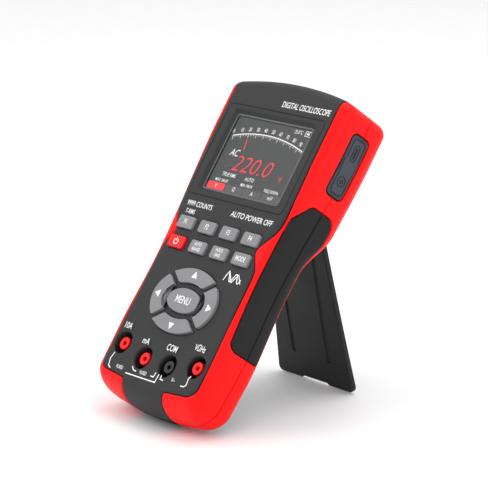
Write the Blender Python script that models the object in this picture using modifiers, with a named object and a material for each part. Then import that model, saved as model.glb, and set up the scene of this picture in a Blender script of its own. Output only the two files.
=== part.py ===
"""Handheld digital oscilloscope and multimeter, leaning back on its folding stand.

The meter is modelled in its own frame, in millimetres: u to the right, v up the face from the
bottom end, w out of the face, with w = 0 on the flat of the face. An empty tilts that frame so
that the bottom end and the stand's foot both rest on the ground plane.
"""

from math import acos, asin, atan2, cos, hypot, pi, radians, sin

import bmesh
import bpy
from mathutils import Matrix, Vector

MM = 0.001
GAP = 0.3
LEAN = radians(55.6)

# Body envelope
BODY_TOP = 179.0
LOWER_HALF = 42.3
BOTTOM_TAPER = 1.6
WAIST_HALF = 40.3
HEAD_HALF = 44.5
BACK_LOW = 28.0
BACK_HIGH = 36.0
JACK_RISE = 0.8
FRONT_RADIUS = 7.5
BACK_RADIUS = 9.0
BOTTOM_END_RADIUS = 11.0
TOP_END_RADIUS = 5.0
BOTTOM_ROLL = 1.45
BOTTOM_CROWN = 5.5
TOP_CROWN = 4.6
CROWN_REACH = 32.0
SMALLEST_RADIUS = 0.4
END_STEPS = 3
CORNER_STEPS = 3
FACE_STEPS = 4
STATIONS = (13, 18, 24, 30, 38, 55, 75, 91, 97, 103, 109, 116, 122, 131, 139, 155, 166)

# Layers, measured inwards from the envelope
SKIN = 1.5
CORE = SKIN + GAP
CAVITY = 3.6
FACE_WALL = 2.8

# Parting plane between the front and rear halves
PARTING_LOW = -14.8
PARTING_SLOPE = -0.025

# Outlines on the face and the back
PANEL_HALF = 39.0
TONGUE_HALF = 15.7
BACK_MARGIN = 5.5

# Display
DISPLAY_V = 136.1
WINDOW_SIZE = (61.6, 46.8)
WINDOW_BEVEL = 2.0
LENS_SIZE = (66.0, 51.0)
LENS_TOP = -FACE_WALL - GAP
LENS_THICK = 1.2
MODULE_SIZE = (62.0, 48.0)
MODULE_THICK = 2.5

# Keys
KEY_SIZE = (11.8, 6.6)
KEY_RADIUS = 1.2
KEY_PITCH = 16.5
KEY_ROWS = (94.8, 83.9)
KEY_PROUD = 1.5
KEY_FLANGE = 0.9
KEY_FLANGE_THICK = 1.5
PAD_V = 56.1
PAD_HALF = (23.45, 17.2)
PAD_INNER = (15.4, 9.6)
PAD_WEB = 1.4
MENU_HALF = (12.05, 6.45)
MEMBRANE_TOP = -5.9
MEMBRANE_THICK = 1.2

# Main board
BOARD_TOP = -7.4
BOARD_THICK = 1.6
BOARD_HALF = 34.0
BOARD_SPAN = (19.0, 160.5)
BOARD_BACK = BOARD_TOP - BOARD_THICK

# Jacks
JACK_OUTER = (28.6, 27.2)
JACK_INNER = (9.5, 23.2)
WELL_RADIUS = 5.8
WELL_WALL = 1.2
POST_RADIUS = 3.3
POST_FLANGE = 4.6
POST_TOP = -1.0
SOCKET_RADIUS = 2.5
SOCKET_BORE = 1.95
SOCKET_BOTTOM = -22.0

# Stand
HINGE_V = 128.2
HINGE_W = -33.5
STAND_LENGTH = 100.0
STAND_THICK = 3.0
STAND_TOP_HALF = 20.5
STAND_FOOT_HALF = 28.5
FOOT_RADIUS = 3.0
KNUCKLE_RADIUS = 2.7
PLATE_START = -1.9
NOTCH_HALF = 9.0
NOTCH_DEPTH = 1.0
GROOVE_U = 13.0
GROOVE_HALF = 1.5
GROOVE_DEPTH = 0.6
GROOVE_START = -12.0
GROOVE_END = 14.0
PIN_RADIUS = 1.1
PIN_HALF = 25.0
RECESS_FLOOR = -31.4

# Port cover and the sockets behind it
COVER_V = (130.8, 163.6)
COVER_W = (-24.6, -12.2)
COVER_RADIUS = 3.0
COVER_AXIS_U = 44.7
PORT_V = (133.5, 161.0)
PORT_W = (-22.6, -14.2)
USB_V = 153.0
PROBE_V = 141.0
PORT_BOARD_TOP = -20.9

# Battery
CELL_V = 149.0
CELL_W = -22.4
CELL_RADIUS = 9.15
CELL_SPAN = (-36.0, 29.0)
DOOR_V = (136.5, 162.0)
DOOR_HALF = 31.0
DOOR_THICK = 1.8
DOOR_LEDGE = 2.0

# Fasteners
SCREW_PLACES = ((-30.5, 15.0), (30.5, 15.0), (-34.0, 165.5), (34.0, 165.5))
SCREW_SHAFT = 1.4
SCREW_HEAD = 2.8
BOSS_RADIUS = 3.4


# ---------------------------------------------------------------- curves and outlines


def step(low, high, x):
    """A smooth rise from 0 at low to 1 at high."""
    t = min(max((x - low) / (high - low), 0.0), 1.0)
    return t * t * (3 - 2 * t)


def arc(centre, radius, start, end, steps):
    """Points of an arc, angles in degrees, both ends included."""
    angles = [radians(start + (end - start) * k / steps) for k in range(steps + 1)]
    return [(centre[0] + radius * cos(a), centre[1] + radius * sin(a)) for a in angles]


def rounded_rectangle(width, height, radius, steps=3):
    x, y = width / 2 - radius, height / 2 - radius
    corners = ((x, y, 0), (-x, y, 90), (-x, -y, 180), (x, -y, 270))
    return [p for cx, cy, a in corners for p in arc((cx, cy), radius, a, a + 90, steps)]


def ellipse(half_x, half_y, steps=24):
    return [(half_x * cos(2 * pi * k / steps), half_y * sin(2 * pi * k / steps)) for k in range(steps)]


def rounded_path(points, steps=3):
    """A closed outline from (x, y, radius) corners, each turned with its own radius."""
    result = []
    for i, (x, y, radius) in enumerate(points):
        here = Vector((x, y))
        before = (Vector(points[i - 1][:2]) - here).normalized()
        after = (Vector(points[(i + 1) % len(points)][:2]) - here).normalized()
        if radius == 0:
            result.append((x, y))
            continue
        half_angle = acos(max(-1.0, min(1.0, before.dot(after)))) / 2
        reach = radius / (sin(half_angle) / cos(half_angle))
        first = here + before * reach
        centre = here + (before + after).normalized() * (radius / sin(half_angle))
        last = here + after * reach
        a0 = atan2(first.y - centre.y, first.x - centre.x)
        a1 = atan2(last.y - centre.y, last.x - centre.x)
        turn = (a1 - a0 + pi) % (2 * pi) - pi
        for k in range(steps + 1):
            a = a0 + turn * k / steps
            result.append((centre.x + radius * cos(a), centre.y + radius * sin(a)))
    return result


def area(outline):
    pairs = zip(outline, outline[1:] + outline[:1])
    return sum(a[0] * b[1] - b[0] * a[1] for a, b in pairs) / 2


def grown(outline, distance):
    """The outline moved outwards by distance, corner by corner."""
    side = 1 if area(outline) > 0 else -1
    result = []
    for i, point in enumerate(outline):
        here = Vector(point)
        along = (here - Vector(outline[i - 1])).normalized()
        onward = (Vector(outline[(i + 1) % len(outline)]) - here).normalized()
        normals = [Vector((d.y, -d.x)) * side for d in (along, onward)]
        middle = (normals[0] + normals[1]).normalized()
        result.append(tuple(here + middle * distance / max(middle.dot(normals[0]), 0.5)))
    return result


def mirrored(right_half):
    """A closed outline from its right half, listed from top to bottom."""
    return right_half + [(-x, y) for x, y in reversed(right_half)]


# ---------------------------------------------------------------- body envelope


def body_half_width(v):
    if v < 75:
        taper = BOTTOM_TAPER * (1 - step(5, 45, v))
        return LOWER_HALF - taper + (WAIST_HALF - LOWER_HALF) * step(30, 75, v)
    return WAIST_HALF + (HEAD_HALF - WAIST_HALF) * step(75, 155, v)


def outer_back(v):
    return BACK_LOW + (BACK_HIGH - BACK_LOW) * step(91, 116, v)


def cavity_back(v):
    """Depth of the cavity's back wall plus its inset: it stays clear of the stand's recess."""
    return BACK_LOW + 3.0 * step(97, 109, v) + 5.0 * step(131, 139, v)


def front_rise(v):
    return JACK_RISE * step(36, 12, v)


def crown(u, v):
    """How far the rounded ends bow, as a shift along v."""
    across = (u / HEAD_HALF) ** 2
    bottom = BOTTOM_CROWN * across * (1 - step(0, CROWN_REACH, v))
    top = TOP_CROWN * across * step(BODY_TOP - CROWN_REACH, BODY_TOP, v)
    return bottom - top


def section(v, inset, front_inset, back):
    """One rounded section of the body, as a ring of (u, w) that starts at the face's left."""
    half = body_half_width(v) - inset
    top = front_rise(v) - front_inset
    bottom = inset - back(v)
    front_r = max(FRONT_RADIUS - inset, SMALLEST_RADIUS)
    back_r = max(BACK_RADIUS - inset, SMALLEST_RADIUS)
    fractions = [2 * j / FACE_STEPS - 1 for j in range(FACE_STEPS + 1)]
    ring = [(f * (half - front_r), top) for f in fractions]
    ring += arc((half - front_r, top - front_r), front_r, 90, 0, CORNER_STEPS)[1:]
    ring += arc((half - back_r, bottom + back_r), back_r, 0, -90, CORNER_STEPS)
    ring += [(-f * (half - back_r), bottom) for f in fractions[1:]]
    ring += arc((back_r - half, bottom + back_r), back_r, -90, -180, CORNER_STEPS)[1:]
    ring += arc((front_r - half, top - front_r), front_r, 180, 90, CORNER_STEPS)[:-1]
    return ring


def envelope(inset, face_wall=None, back=outer_back):
    """The closed body form, moved inwards by inset, or by face_wall at the face."""
    low, high = inset, BODY_TOP - inset
    places = []
    low_r, high_r = BOTTOM_END_RADIUS - inset, TOP_END_RADIUS - inset
    for k in range(END_STEPS + 1):
        a = pi / 2 * k / END_STEPS
        extra = low_r * (1 - sin(a))
        places.append((low + low_r * (1 - cos(a)), extra, extra * BOTTOM_ROLL))
    places += [(v, 0.0, 0.0) for v in STATIONS]
    for k in range(END_STEPS + 1):
        a = pi / 2 * (1 - k / END_STEPS)
        extra = high_r * (1 - sin(a))
        places.append((high - high_r * (1 - cos(a)), extra, extra))

    bm = bmesh.new()
    rings = []
    for v, extra, front_extra in places:
        front_inset = (inset if face_wall is None else face_wall) + front_extra
        ring = section(v, inset + extra, front_inset, back)
        rings.append([bm.verts.new(Vector((u, v + crown(u, v), w)) * MM) for u, w in ring])
    count = len(rings[0])
    for ring, after in zip(rings, rings[1:]):
        for i in range(count):
            j = (i + 1) % count
            bm.faces.new((ring[i], ring[j], after[j], after[i]))
    back_start = FACE_STEPS + 2 * CORNER_STEPS + 1
    back_end = back_start + FACE_STEPS
    for ring in (rings[0], rings[-1]):
        for j in range(FACE_STEPS):
            bm.faces.new((ring[j], ring[j + 1], ring[back_end - j - 1], ring[back_end - j]))
        bm.faces.new(ring[FACE_STEPS:back_start + 1])
        bm.faces.new(ring[back_end:] + ring[:1])
    bmesh.ops.recalc_face_normals(bm, faces=bm.faces)
    return bm


def half_panel_outline():
    """Right half of the dark face panel, top to bottom: wide head, waist notch, jack end, tongue."""
    half = [(PANEL_HALF, BODY_TOP + 12), (PANEL_HALF, 112)]
    half += [(38.7, 106.5), (37.3, 101.0), (34.4, 96.2), (31.8, 92.8), (30.7, 90.4), (31.2, 88.2)]
    half += [(33.0, 85.2), (34.9, 82.0), (35.9, 78.0), (36.2, 60.0), (36.8, 30.0)]
    half += arc((30.6, 18.4), 6.3, 10, -80, 5)
    half += [(24.0, 11.5), (TONGUE_HALF + 1.8, 10.7), (TONGUE_HALF, 9.0), (TONGUE_HALF, -12)]
    return half


def half_back_outline():
    """Right half of the dark back: the red edge wraps over it by the back margin."""
    half = [(PANEL_HALF, BODY_TOP + 12)]
    half += [(body_half_width(v) - BACK_MARGIN, v) for v in (155, 115, 75, 40, 20)]
    half += arc((29.0, 13.0), 8.0, 0, -90, 4)
    half += [(TONGUE_HALF + 2, 5.0), (TONGUE_HALF, 3.0), (TONGUE_HALF, -12)]
    return half


def grip_outline():
    """Side grip in (v, w): its front edge on the face's rounding, its rear edge on the back's."""
    corners = [(41.0, -2.8, 4.5), (111.0, -2.6, 8.0), (121.3, -10.0, 5.0), (121.3, -27.6, 6.0)]
    corners += [(108.0, -28.6, 8.0), (97.0, -25.2, 10.0), (40.6, -25.2, 2.0)]
    return rounded_path(corners)


def cover_outline():
    shape = rounded_rectangle(COVER_V[1] - COVER_V[0], COVER_W[1] - COVER_W[0], COVER_RADIUS)
    middle = (sum(COVER_V) / 2, sum(COVER_W) / 2)
    return [(v + middle[0], w + middle[1]) for v, w in shape]


def pad_sector(direction, offset):
    """One quarter of the ring pad, grown by offset; direction 0 is right, 1 up, 2 left, 3 down."""
    outer = (PAD_HALF[0] + offset, PAD_HALF[1] + offset)
    inner = (PAD_INNER[0] - offset, PAD_INNER[1] - offset)
    web = PAD_WEB - offset
    diagonal = atan2(PAD_HALF[1], PAD_HALF[0])
    centre = direction * pi / 2
    limits = (-diagonal, diagonal) if direction % 2 == 0 else (diagonal - pi / 2, pi / 2 - diagonal)

    def curve(half, steps):
        points = []
        for k in range(steps + 1):
            edge = limits[0] + (limits[1] - limits[0]) * k / steps
            trim = web if k == 0 else -web if k == steps else 0.0
            a = centre + edge
            radius = 1 / hypot(cos(a) / half[0], sin(a) / half[1])
            x, y = radius * cos(a), radius * sin(a)
            points.append((x - trim * sin(a), y + trim * cos(a)))
        return points

    return curve(outer, 6) + curve(inner, 4)[::-1]


# ---------------------------------------------------------------- objects


def clear_scene():
    for obj in list(bpy.data.objects):
        bpy.data.objects.remove(obj, do_unlink=True)


def make_material(name, colour, roughness, metallic=0.0):
    material = bpy.data.materials.new(name)
    material.use_nodes = True
    shader = material.node_tree.nodes["Principled BSDF"]
    shader.inputs["Base Color"].default_value = (*colour, 1.0)
    shader.inputs["Roughness"].default_value = roughness
    shader.inputs["Metallic"].default_value = metallic
    return material


def make_object(name, bm, material=None, location=(0, 0, 0)):
    """An object of the meter from a bmesh whose points are around location, in millimetres."""
    mesh = bpy.data.meshes.new(name)
    bm.to_mesh(mesh)
    bm.free()
    obj = bpy.data.objects.new(name, mesh)
    obj.location = Vector(location) * MM
    obj.parent = METER
    if material is None:
        CUTTERS.objects.link(obj)
        obj.hide_render = True
        obj.display_type = "WIRE"
    else:
        PARTS.objects.link(obj)
        mesh.materials.append(material)
        mesh.shade_smooth()
        mesh.set_sharp_from_angle(angle=radians(35))
    return obj


def boolean(obj, operation, tool):
    modifier = obj.modifiers.new(tool.name, "BOOLEAN")
    modifier.operation = operation
    modifier.object = tool
    modifier.solver = "EXACT"


PLANES = {
    "w": lambda x, y, h: (x, y, h),
    "u": lambda x, y, h: (h, x, y),
    "v": lambda x, y, h: (x, h, y),
}


def stack(levels, direction="w"):
    """A closed solid through level outlines of equal count: (outline, height) pairs."""
    place = PLANES[direction]
    bm = bmesh.new()
    rings = [[bm.verts.new(Vector(place(x, y, height)) * MM) for x, y in outline]
             for outline, height in levels]
    count = len(rings[0])
    for ring, after in zip(rings, rings[1:]):
        for i in range(count):
            j = (i + 1) % count
            bm.faces.new((ring[i], ring[j], after[j], after[i]))
    bm.faces.new(rings[0])
    bm.faces.new(rings[-1])
    bmesh.ops.recalc_face_normals(bm, faces=bm.faces)
    return bm


def prism(outline, low, high, direction="w"):
    return stack([(outline, low), (outline, high)], direction)


def box(low, high):
    bm = bmesh.new()
    bmesh.ops.create_cube(bm, size=1.0)
    size = [h - l for l, h in zip(low, high)]
    centre = [(h + l) / 2 for l, h in zip(low, high)]
    bmesh.ops.scale(bm, vec=Vector(size) * MM, verts=bm.verts)
    bmesh.ops.translate(bm, vec=Vector(centre) * MM, verts=bm.verts)
    return bm


def cylinder(centre, radius, low, high, axis="w", steps=16):
    """A cylinder whose axis runs along w, v or u from low to high."""
    bm = bmesh.new()
    bmesh.ops.create_cone(bm, cap_ends=True, segments=steps, radius1=radius * MM,
                          radius2=radius * MM, depth=(high - low) * MM)
    turn = {"w": Matrix(), "u": Matrix.Rotation(pi / 2, 4, "Y"), "v": Matrix.Rotation(-pi / 2, 4, "X")}
    bmesh.ops.transform(bm, matrix=turn[axis], verts=bm.verts)
    middle = (low + high) / 2
    place = {"w": (*centre, middle), "u": (middle, *centre), "v": (centre[0], middle, centre[1])}
    bmesh.ops.translate(bm, vec=Vector(place[axis]) * MM, verts=bm.verts)
    return bm


def joined(*pieces):
    """One bmesh of several separate closed solids."""
    result = bmesh.new()
    for piece in pieces:
        mesh = bpy.data.meshes.new("piece")
        piece.to_mesh(mesh)
        piece.free()
        result.from_mesh(mesh)
        bpy.data.meshes.remove(mesh)
    return result


def turned(name, profile, material, location, axis="w", steps=16):
    """A turned part: profile is (radius, height) from the top down its outer side."""
    bm = bmesh.new()
    verts = [bm.verts.new((radius * MM, 0, height * MM)) for radius, height in profile]
    closed = profile[0][0] > 0
    for a, b in zip(verts, verts[1:] + verts[:1] if closed else verts[1:]):
        bm.edges.new((a, b))
    obj = make_object(name, bm, material, location)
    if axis == "u":
        obj.rotation_euler = (0, pi / 2, 0)
    screw = obj.modifiers.new("turn", "SCREW")
    screw.axis = "Z"
    screw.steps = steps
    screw.render_steps = steps
    screw.use_merge_vertices = True
    screw.merge_threshold = 0.00001
    return obj


# ---------------------------------------------------------------- shared cutters


def parting_w(v):
    return PARTING_LOW + PARTING_SLOPE * v


def half_space(name, front):
    """A block on one side of the parting plane, half a gap away from it."""
    away = 60.0 if front else -60.0
    shift = GAP / 2 if front else -GAP / 2
    near = [(v, parting_w(v) + shift) for v in (-30.0, BODY_TOP + 30)]
    far = [(v, parting_w(v) + away) for v in (BODY_TOP + 30, -30.0)]
    return make_object(name, prism(near + far, -70, 70, "u"))


def make_cutters():
    """Shapes that more than one piece is cut with, by name."""
    cut = {}
    cut["front_half"] = half_space("cut_front_half", True)
    cut["rear_half"] = half_space("cut_rear_half", False)
    cut["skin_inside"] = make_object("cut_skin_inside", envelope(SKIN))
    cut["core"] = make_object("cut_core", envelope(CORE))
    cut["cavity"] = make_object("cut_cavity", envelope(CAVITY, FACE_WALL, cavity_back))
    panel = mirrored(half_panel_outline())
    back = mirrored(half_back_outline())
    cut["panel"] = make_object("cut_panel", prism(panel, -60, 30))
    cut["panel_gap"] = make_object("cut_panel_gap", prism(grown(panel, GAP), -60, 30))
    cut["back"] = make_object("cut_back", prism(back, -60, 30))
    cut["back_gap"] = make_object("cut_back_gap", prism(grown(back, GAP), -60, 30))
    grip = grip_outline()
    cut["grip"] = make_object("cut_grip", prism(grip, -60, 60, "u"))
    cut["grip_gap"] = make_object("cut_grip_gap", prism(grown(grip, GAP), -60, 60, "u"))
    cover = cover_outline()
    cut["cover"] = make_object("cut_cover", prism(cover, 30, 60, "u"))
    cut["cover_gap"] = make_object("cut_cover_gap", prism(grown(cover, GAP), 30, 60, "u"))
    ports = box((36, PORT_V[0], PORT_W[0]), (60, PORT_V[1], PORT_W[1]))
    cut["ports"] = make_object("cut_ports", ports)
    for side, sign in (("left", -1), ("right", 1)):
        edge = sorted((0.0, sign * 80.0))
        cut[side] = make_object("cut_" + side, box((edge[0], -40, -80), (edge[1], 240, 80)))
    return cut


# ---------------------------------------------------------------- cases


def key_holes():
    """One cutter for every key, each grown by the gap."""
    holes = []
    for u, v, outline in key_places():
        shifted = [(x + u, y + v) for x, y in outline(GAP)]
        holes.append(prism(shifted, -FACE_WALL - 6, 8))
    return holes


def key_places():
    """Centre and outline function of each key, in the order of KEY_NAMES."""
    places = []
    for v in KEY_ROWS:
        for k in range(4):
            outline = lambda grow: rounded_rectangle(
                KEY_SIZE[0] + 2 * grow, KEY_SIZE[1] + 2 * grow, KEY_RADIUS + grow, 2)
            places.append(((k - 1.5) * KEY_PITCH, v, outline))
    for direction in range(4):
        outline = lambda grow, direction=direction: pad_sector(direction, grow)
        places.append((0.0, PAD_V, outline))
    menu = lambda grow: ellipse(MENU_HALF[0] + grow, MENU_HALF[1] + grow, 20)
    places.append((0.0, PAD_V, menu))
    return places


KEY_NAMES = ("key_f1", "key_f2", "key_f3", "key_f4", "key_power", "key_range", "key_hold",
             "key_mode", "key_right", "key_up", "key_left", "key_down", "key_menu")


def jack_places():
    outer, inner = JACK_OUTER, JACK_INNER
    return (("10a", -outer[0], outer[1]), ("ma", -inner[0], inner[1]),
            ("com", inner[0], inner[1]), ("volt", outer[0], outer[1]))


def window_cutter():
    width, height = WINDOW_SIZE
    wide = rounded_rectangle(width, height, 1.5, 2)
    narrow = rounded_rectangle(width - 2 * WINDOW_BEVEL, height - 2 * WINDOW_BEVEL, 0.6, 2)
    levels = [(wide, 6), (wide, 0), (narrow, -FACE_WALL + 0.4), (narrow, -FACE_WALL - 3)]
    levels = [([(x, y + DISPLAY_V) for x, y in outline], height) for outline, height in levels]
    return stack(levels)


def front_case(cut, material):
    case = make_object("front_case", envelope(0), material)
    boolean(case, "INTERSECT", cut["panel"])
    boolean(case, "UNION", cut["core"])
    boolean(case, "INTERSECT", cut["front_half"])
    boolean(case, "DIFFERENCE", cut["cavity"])
    boolean(case, "DIFFERENCE", cut["ports"])

    wells = [cylinder((u, v), WELL_RADIUS + WELL_WALL, BOARD_TOP + GAP, -1.5)
             for _, u, v in jack_places()]
    bosses = []
    for place in SCREW_PLACES:
        low, high = parting_w(place[1]) + 1.0, front_rise(place[1]) - FACE_WALL + 0.3
        bosses.append(cylinder(place, BOSS_RADIUS, low, high, steps=12))
    inside = make_object("add_front_inside", joined(*wells, *bosses))
    boolean(case, "UNION", inside)

    jack_holes = [cylinder((u, v), WELL_RADIUS, -30, 10) for _, u, v in jack_places()]
    pilots = [cylinder(place, SCREW_SHAFT + GAP, -30, -4.5, steps=12) for place in SCREW_PLACES]
    holes = make_object("cut_front_holes", joined(window_cutter(), *key_holes(), *jack_holes, *pilots))
    boolean(case, "DIFFERENCE", holes)


def stand_recess():
    """The back's pocket for the folded stand and the round seat of its knuckle."""
    half = STAND_TOP_HALF + 3.5
    foot_side = [(88.0, -60.0), (88.0, RECESS_FLOOR + 2.6), (97.0, RECESS_FLOOR)]
    outline = foot_side + [(HINGE_V - 1.0, RECESS_FLOOR), (HINGE_V - 1.0, -60.0)]
    pocket = prism(outline, -half, half, "u")
    seat = cylinder((HINGE_V, HINGE_W), KNUCKLE_RADIUS + 0.7, -half, half, "u", 20)
    return pocket, seat


def rear_case(cut, material):
    case = make_object("rear_case", envelope(0), material)
    boolean(case, "INTERSECT", cut["back"])
    boolean(case, "UNION", cut["core"])
    boolean(case, "INTERSECT", cut["rear_half"])
    boolean(case, "DIFFERENCE", cut["cavity"])

    posts = []
    for place in SCREW_PLACES:
        low, high = CAVITY - 0.4 - outer_back(place[1]), parting_w(place[1]) - 1.0
        posts.append(cylinder(place, BOSS_RADIUS, low, high, steps=12))
    boolean(case, "UNION", make_object("add_rear_posts", joined(*posts)))

    pocket, seat = stand_recess()
    boolean(case, "DIFFERENCE", make_object("cut_stand_pocket", pocket))
    boolean(case, "DIFFERENCE", make_object("cut_knuckle_seat", seat))
    pin_hole = cylinder((HINGE_V, HINGE_W), PIN_RADIUS + GAP, -PIN_HALF - GAP, PIN_HALF + GAP, "u", 12)
    boolean(case, "DIFFERENCE", make_object("cut_pin_hole", pin_hole))

    door_half = DOOR_HALF + GAP
    door_floor = DOOR_THICK - BACK_HIGH + GAP
    rebate = box((-door_half, DOOR_V[0] - GAP, -60), (door_half, DOOR_V[1] + GAP, door_floor))
    opening = box((DOOR_LEDGE - DOOR_HALF, DOOR_V[0] + DOOR_LEDGE, -60),
                  (DOOR_HALF - DOOR_LEDGE, DOOR_V[1] - DOOR_LEDGE, -30))
    boolean(case, "DIFFERENCE", make_object("cut_door_rebate", rebate))
    boolean(case, "DIFFERENCE", make_object("cut_door_opening", opening))

    screw_holes = []
    for place in SCREW_PLACES:
        screw_holes.append(cylinder(place, SCREW_SHAFT + GAP, -60, -8, steps=12))
    boolean(case, "DIFFERENCE", make_object("cut_screw_shafts", joined(*screw_holes)))
    counterbores = [cylinder(place, SCREW_HEAD + GAP, -60, screw_seat(place) + GAP, steps=12)
                    for place in SCREW_PLACES]
    boolean(case, "DIFFERENCE", make_object("cut_screw_heads", joined(*counterbores)))
    boolean(case, "DIFFERENCE", cut["ports"])


def screw_seat(place):
    """Level of the underside of a case screw's head."""
    return 4.0 - outer_back(place[1])


# ---------------------------------------------------------------- overmould


def bumpers(cut, material):
    for half, region in (("front", "panel_gap"), ("rear", "back_gap")):
        for side in ("left", "right"):
            piece = make_object(f"{half}_bumper_{side}", envelope(0), material)
            boolean(piece, "INTERSECT", cut[half + "_half"])
            boolean(piece, "INTERSECT", cut[side])
            boolean(piece, "DIFFERENCE", cut["skin_inside"])
            boolean(piece, "DIFFERENCE", cut[region])
            boolean(piece, "DIFFERENCE", cut["grip_gap"])
            if side == "right":
                boolean(piece, "DIFFERENCE", cut["cover_gap"])


def grips(cut, material):
    for half, region in (("front", "panel_gap"), ("rear", "back_gap")):
        for side in ("left", "right"):
            piece = make_object(f"{half}_grip_{side}", envelope(0), material)
            boolean(piece, "INTERSECT", cut["grip"])
            boolean(piece, "INTERSECT", cut[half + "_half"])
            boolean(piece, "INTERSECT", cut[side])
            boolean(piece, "DIFFERENCE", cut["skin_inside"])
            boolean(piece, "DIFFERENCE", cut[region])


def port_cover(cut, material):
    """The rubber flap; its origin is on the fold line along its rear edge."""
    axis = Vector((COVER_AXIS_U, sum(COVER_V) / 2, COVER_W[0])) * MM
    form = envelope(0)
    bmesh.ops.translate(form, vec=-axis, verts=form.verts)
    cover = make_object("port_cover", form, material, axis / MM)
    boolean(cover, "INTERSECT", cut["cover"])
    boolean(cover, "DIFFERENCE", cut["skin_inside"])


# ---------------------------------------------------------------- display and keys


def display(materials):
    low = LENS_TOP - LENS_THICK
    lens = rounded_rectangle(*LENS_SIZE, 2.0)
    make_object("display_lens", prism(lens, low, LENS_TOP), materials["glass"], (0, DISPLAY_V, 0))
    half_u, half_v = MODULE_SIZE[0] / 2, MODULE_SIZE[1] / 2
    top = low - GAP
    module = box((-half_u, -half_v, top - MODULE_THICK + 0.05), (half_u, half_v, top))
    make_object("display_module", module, materials["screen"], (0, DISPLAY_V, 0))


def keycap(name, u, v, outline, material):
    """A keycap: softened top, straight sides through the case, a flange that stops it."""
    flange_top = -FACE_WALL - GAP
    levels = [(outline(-0.5), KEY_PROUD), (outline(0), KEY_PROUD - 0.5), (outline(0), flange_top),
              (outline(KEY_FLANGE), flange_top), (outline(KEY_FLANGE), flange_top - KEY_FLANGE_THICK)]
    make_object(name, stack(levels), material, (u, v, 0))


def keypad(materials):
    for name, (u, v, outline) in zip(KEY_NAMES, key_places()):
        material = materials["power_key"] if name == "key_power" else materials["key"]
        keycap(name, u, v, outline, material)
    low, high = PAD_V - PAD_HALF[1] - 1.6, KEY_ROWS[0] + KEY_SIZE[1] / 2 + 1.6
    membrane = box((-32.0, low, MEMBRANE_TOP - MEMBRANE_THICK), (32.0, high, MEMBRANE_TOP))
    make_object("keypad_membrane", membrane, materials["silicone"])


# ---------------------------------------------------------------- electronics


def main_board(materials):
    board = make_object("main_board", box((-BOARD_HALF, BOARD_SPAN[0], BOARD_BACK),
                                          (BOARD_HALF, BOARD_SPAN[1], BOARD_TOP)), materials["board"])
    holes = [cylinder((u, v), SOCKET_RADIUS + GAP, -20, 0) for _, u, v in jack_places()]
    boolean(board, "DIFFERENCE", make_object("cut_board_holes", joined(*holes)))
    back = BOARD_BACK - GAP
    chip = box((2, 96, back - 1.2), (14, 108, back))
    make_object("processor_chip", chip, materials["chip"])
    can = box((-26, 66, back - 2.6), (-2, 86, back))
    make_object("shield_can", can, materials["steel"])
    make_object("buzzer", cylinder((-20, 100), 6.0, back - 3.5, back, steps=20), materials["chip"])


def jacks(materials):
    for name, u, v in jack_places():
        post = materials["jack_black"] if name == "com" else materials["jack_red"]
        low = BOARD_TOP + GAP
        inner = SOCKET_RADIUS + GAP
        profile = [(SOCKET_BORE + 0.2, POST_TOP), (POST_RADIUS, POST_TOP), (POST_RADIUS, low + 1.0),
                   (POST_FLANGE, low + 1.0), (POST_FLANGE, low), (inner, low), (inner, POST_TOP - 2.3),
                   (SOCKET_BORE + 0.2, POST_TOP - 2.3)]
        turned(f"jack_post_{name}", profile, post, (u, v, 0))
        top = POST_TOP - 2.3 - GAP
        socket = [(SOCKET_BORE, top), (SOCKET_RADIUS, top), (SOCKET_RADIUS, SOCKET_BOTTOM),
                  (SOCKET_BORE, SOCKET_BOTTOM)]
        turned(f"jack_socket_{name}", socket, materials["brass"], (u, v, 0))


def fuses(materials):
    """Two tube fuses along u, each held in two open clips on the board's back."""
    radius, length, fuse_v = 3.15, 30.0, 50.0
    clip_top = BOARD_BACK - GAP
    fuse_w = clip_top - 0.5 - GAP - radius
    for name, start in (("10a", -32.5), ("ma", 2.5)):
        cap = 5.6
        profile = [(0, length), (radius, length), (radius, length - cap), (2.8, length - cap),
                   (2.8, cap), (radius, cap), (radius, 0), (0, 0)]
        turned(f"fuse_{name}", profile, materials["steel"], (start, fuse_v, fuse_w), "u", 12)
        for end, clip_u in (("left", start + 0.5), ("right", start + length - 5.0)):
            outer, inner = radius + GAP + 0.5, radius + GAP
            tips = fuse_w - 1.0
            outline = [(-outer, tips), (-outer, clip_top), (outer, clip_top), (outer, tips),
                       (inner, tips), (inner, clip_top - 0.5), (-inner, clip_top - 0.5), (-inner, tips)]
            shape = prism(outline, 0.0, 4.5, "u")
            make_object(f"fuse_clip_{name}_{end}", shape, materials["brass"], (clip_u, fuse_v, 0))


def ports(materials):
    """Charging socket and probe socket on their own small board behind the port cover."""
    board = box((31.4, 132.5, PORT_BOARD_TOP - 1.2), (39.6, 160.5, PORT_BOARD_TOP))
    make_object("port_board", board, materials["board"])
    floor = PORT_BOARD_TOP + GAP
    shell = rounded_rectangle(9.0, 3.2, 1.5, 3)
    shell = [(v + USB_V, w + floor + 1.6) for v, w in shell]
    usb = make_object("charging_socket", prism(shell, 34.0, 41.8, "u"), materials["steel"])
    mouth = [(v + USB_V, w + floor + 1.6) for v, w in rounded_rectangle(8.2, 2.4, 1.15, 3)]
    boolean(usb, "DIFFERENCE", make_object("cut_charging_mouth", prism(mouth, 36.0, 50.0, "u")))
    barrel = [(0, 37.0), (1.3, 37.0), (1.3, 41.8), (3.1, 41.8), (3.1, 34.0), (0, 34.0)]
    turned("probe_socket", barrel, materials["brass"], (0, PROBE_V, floor + 3.1), "u", 16)


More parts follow.
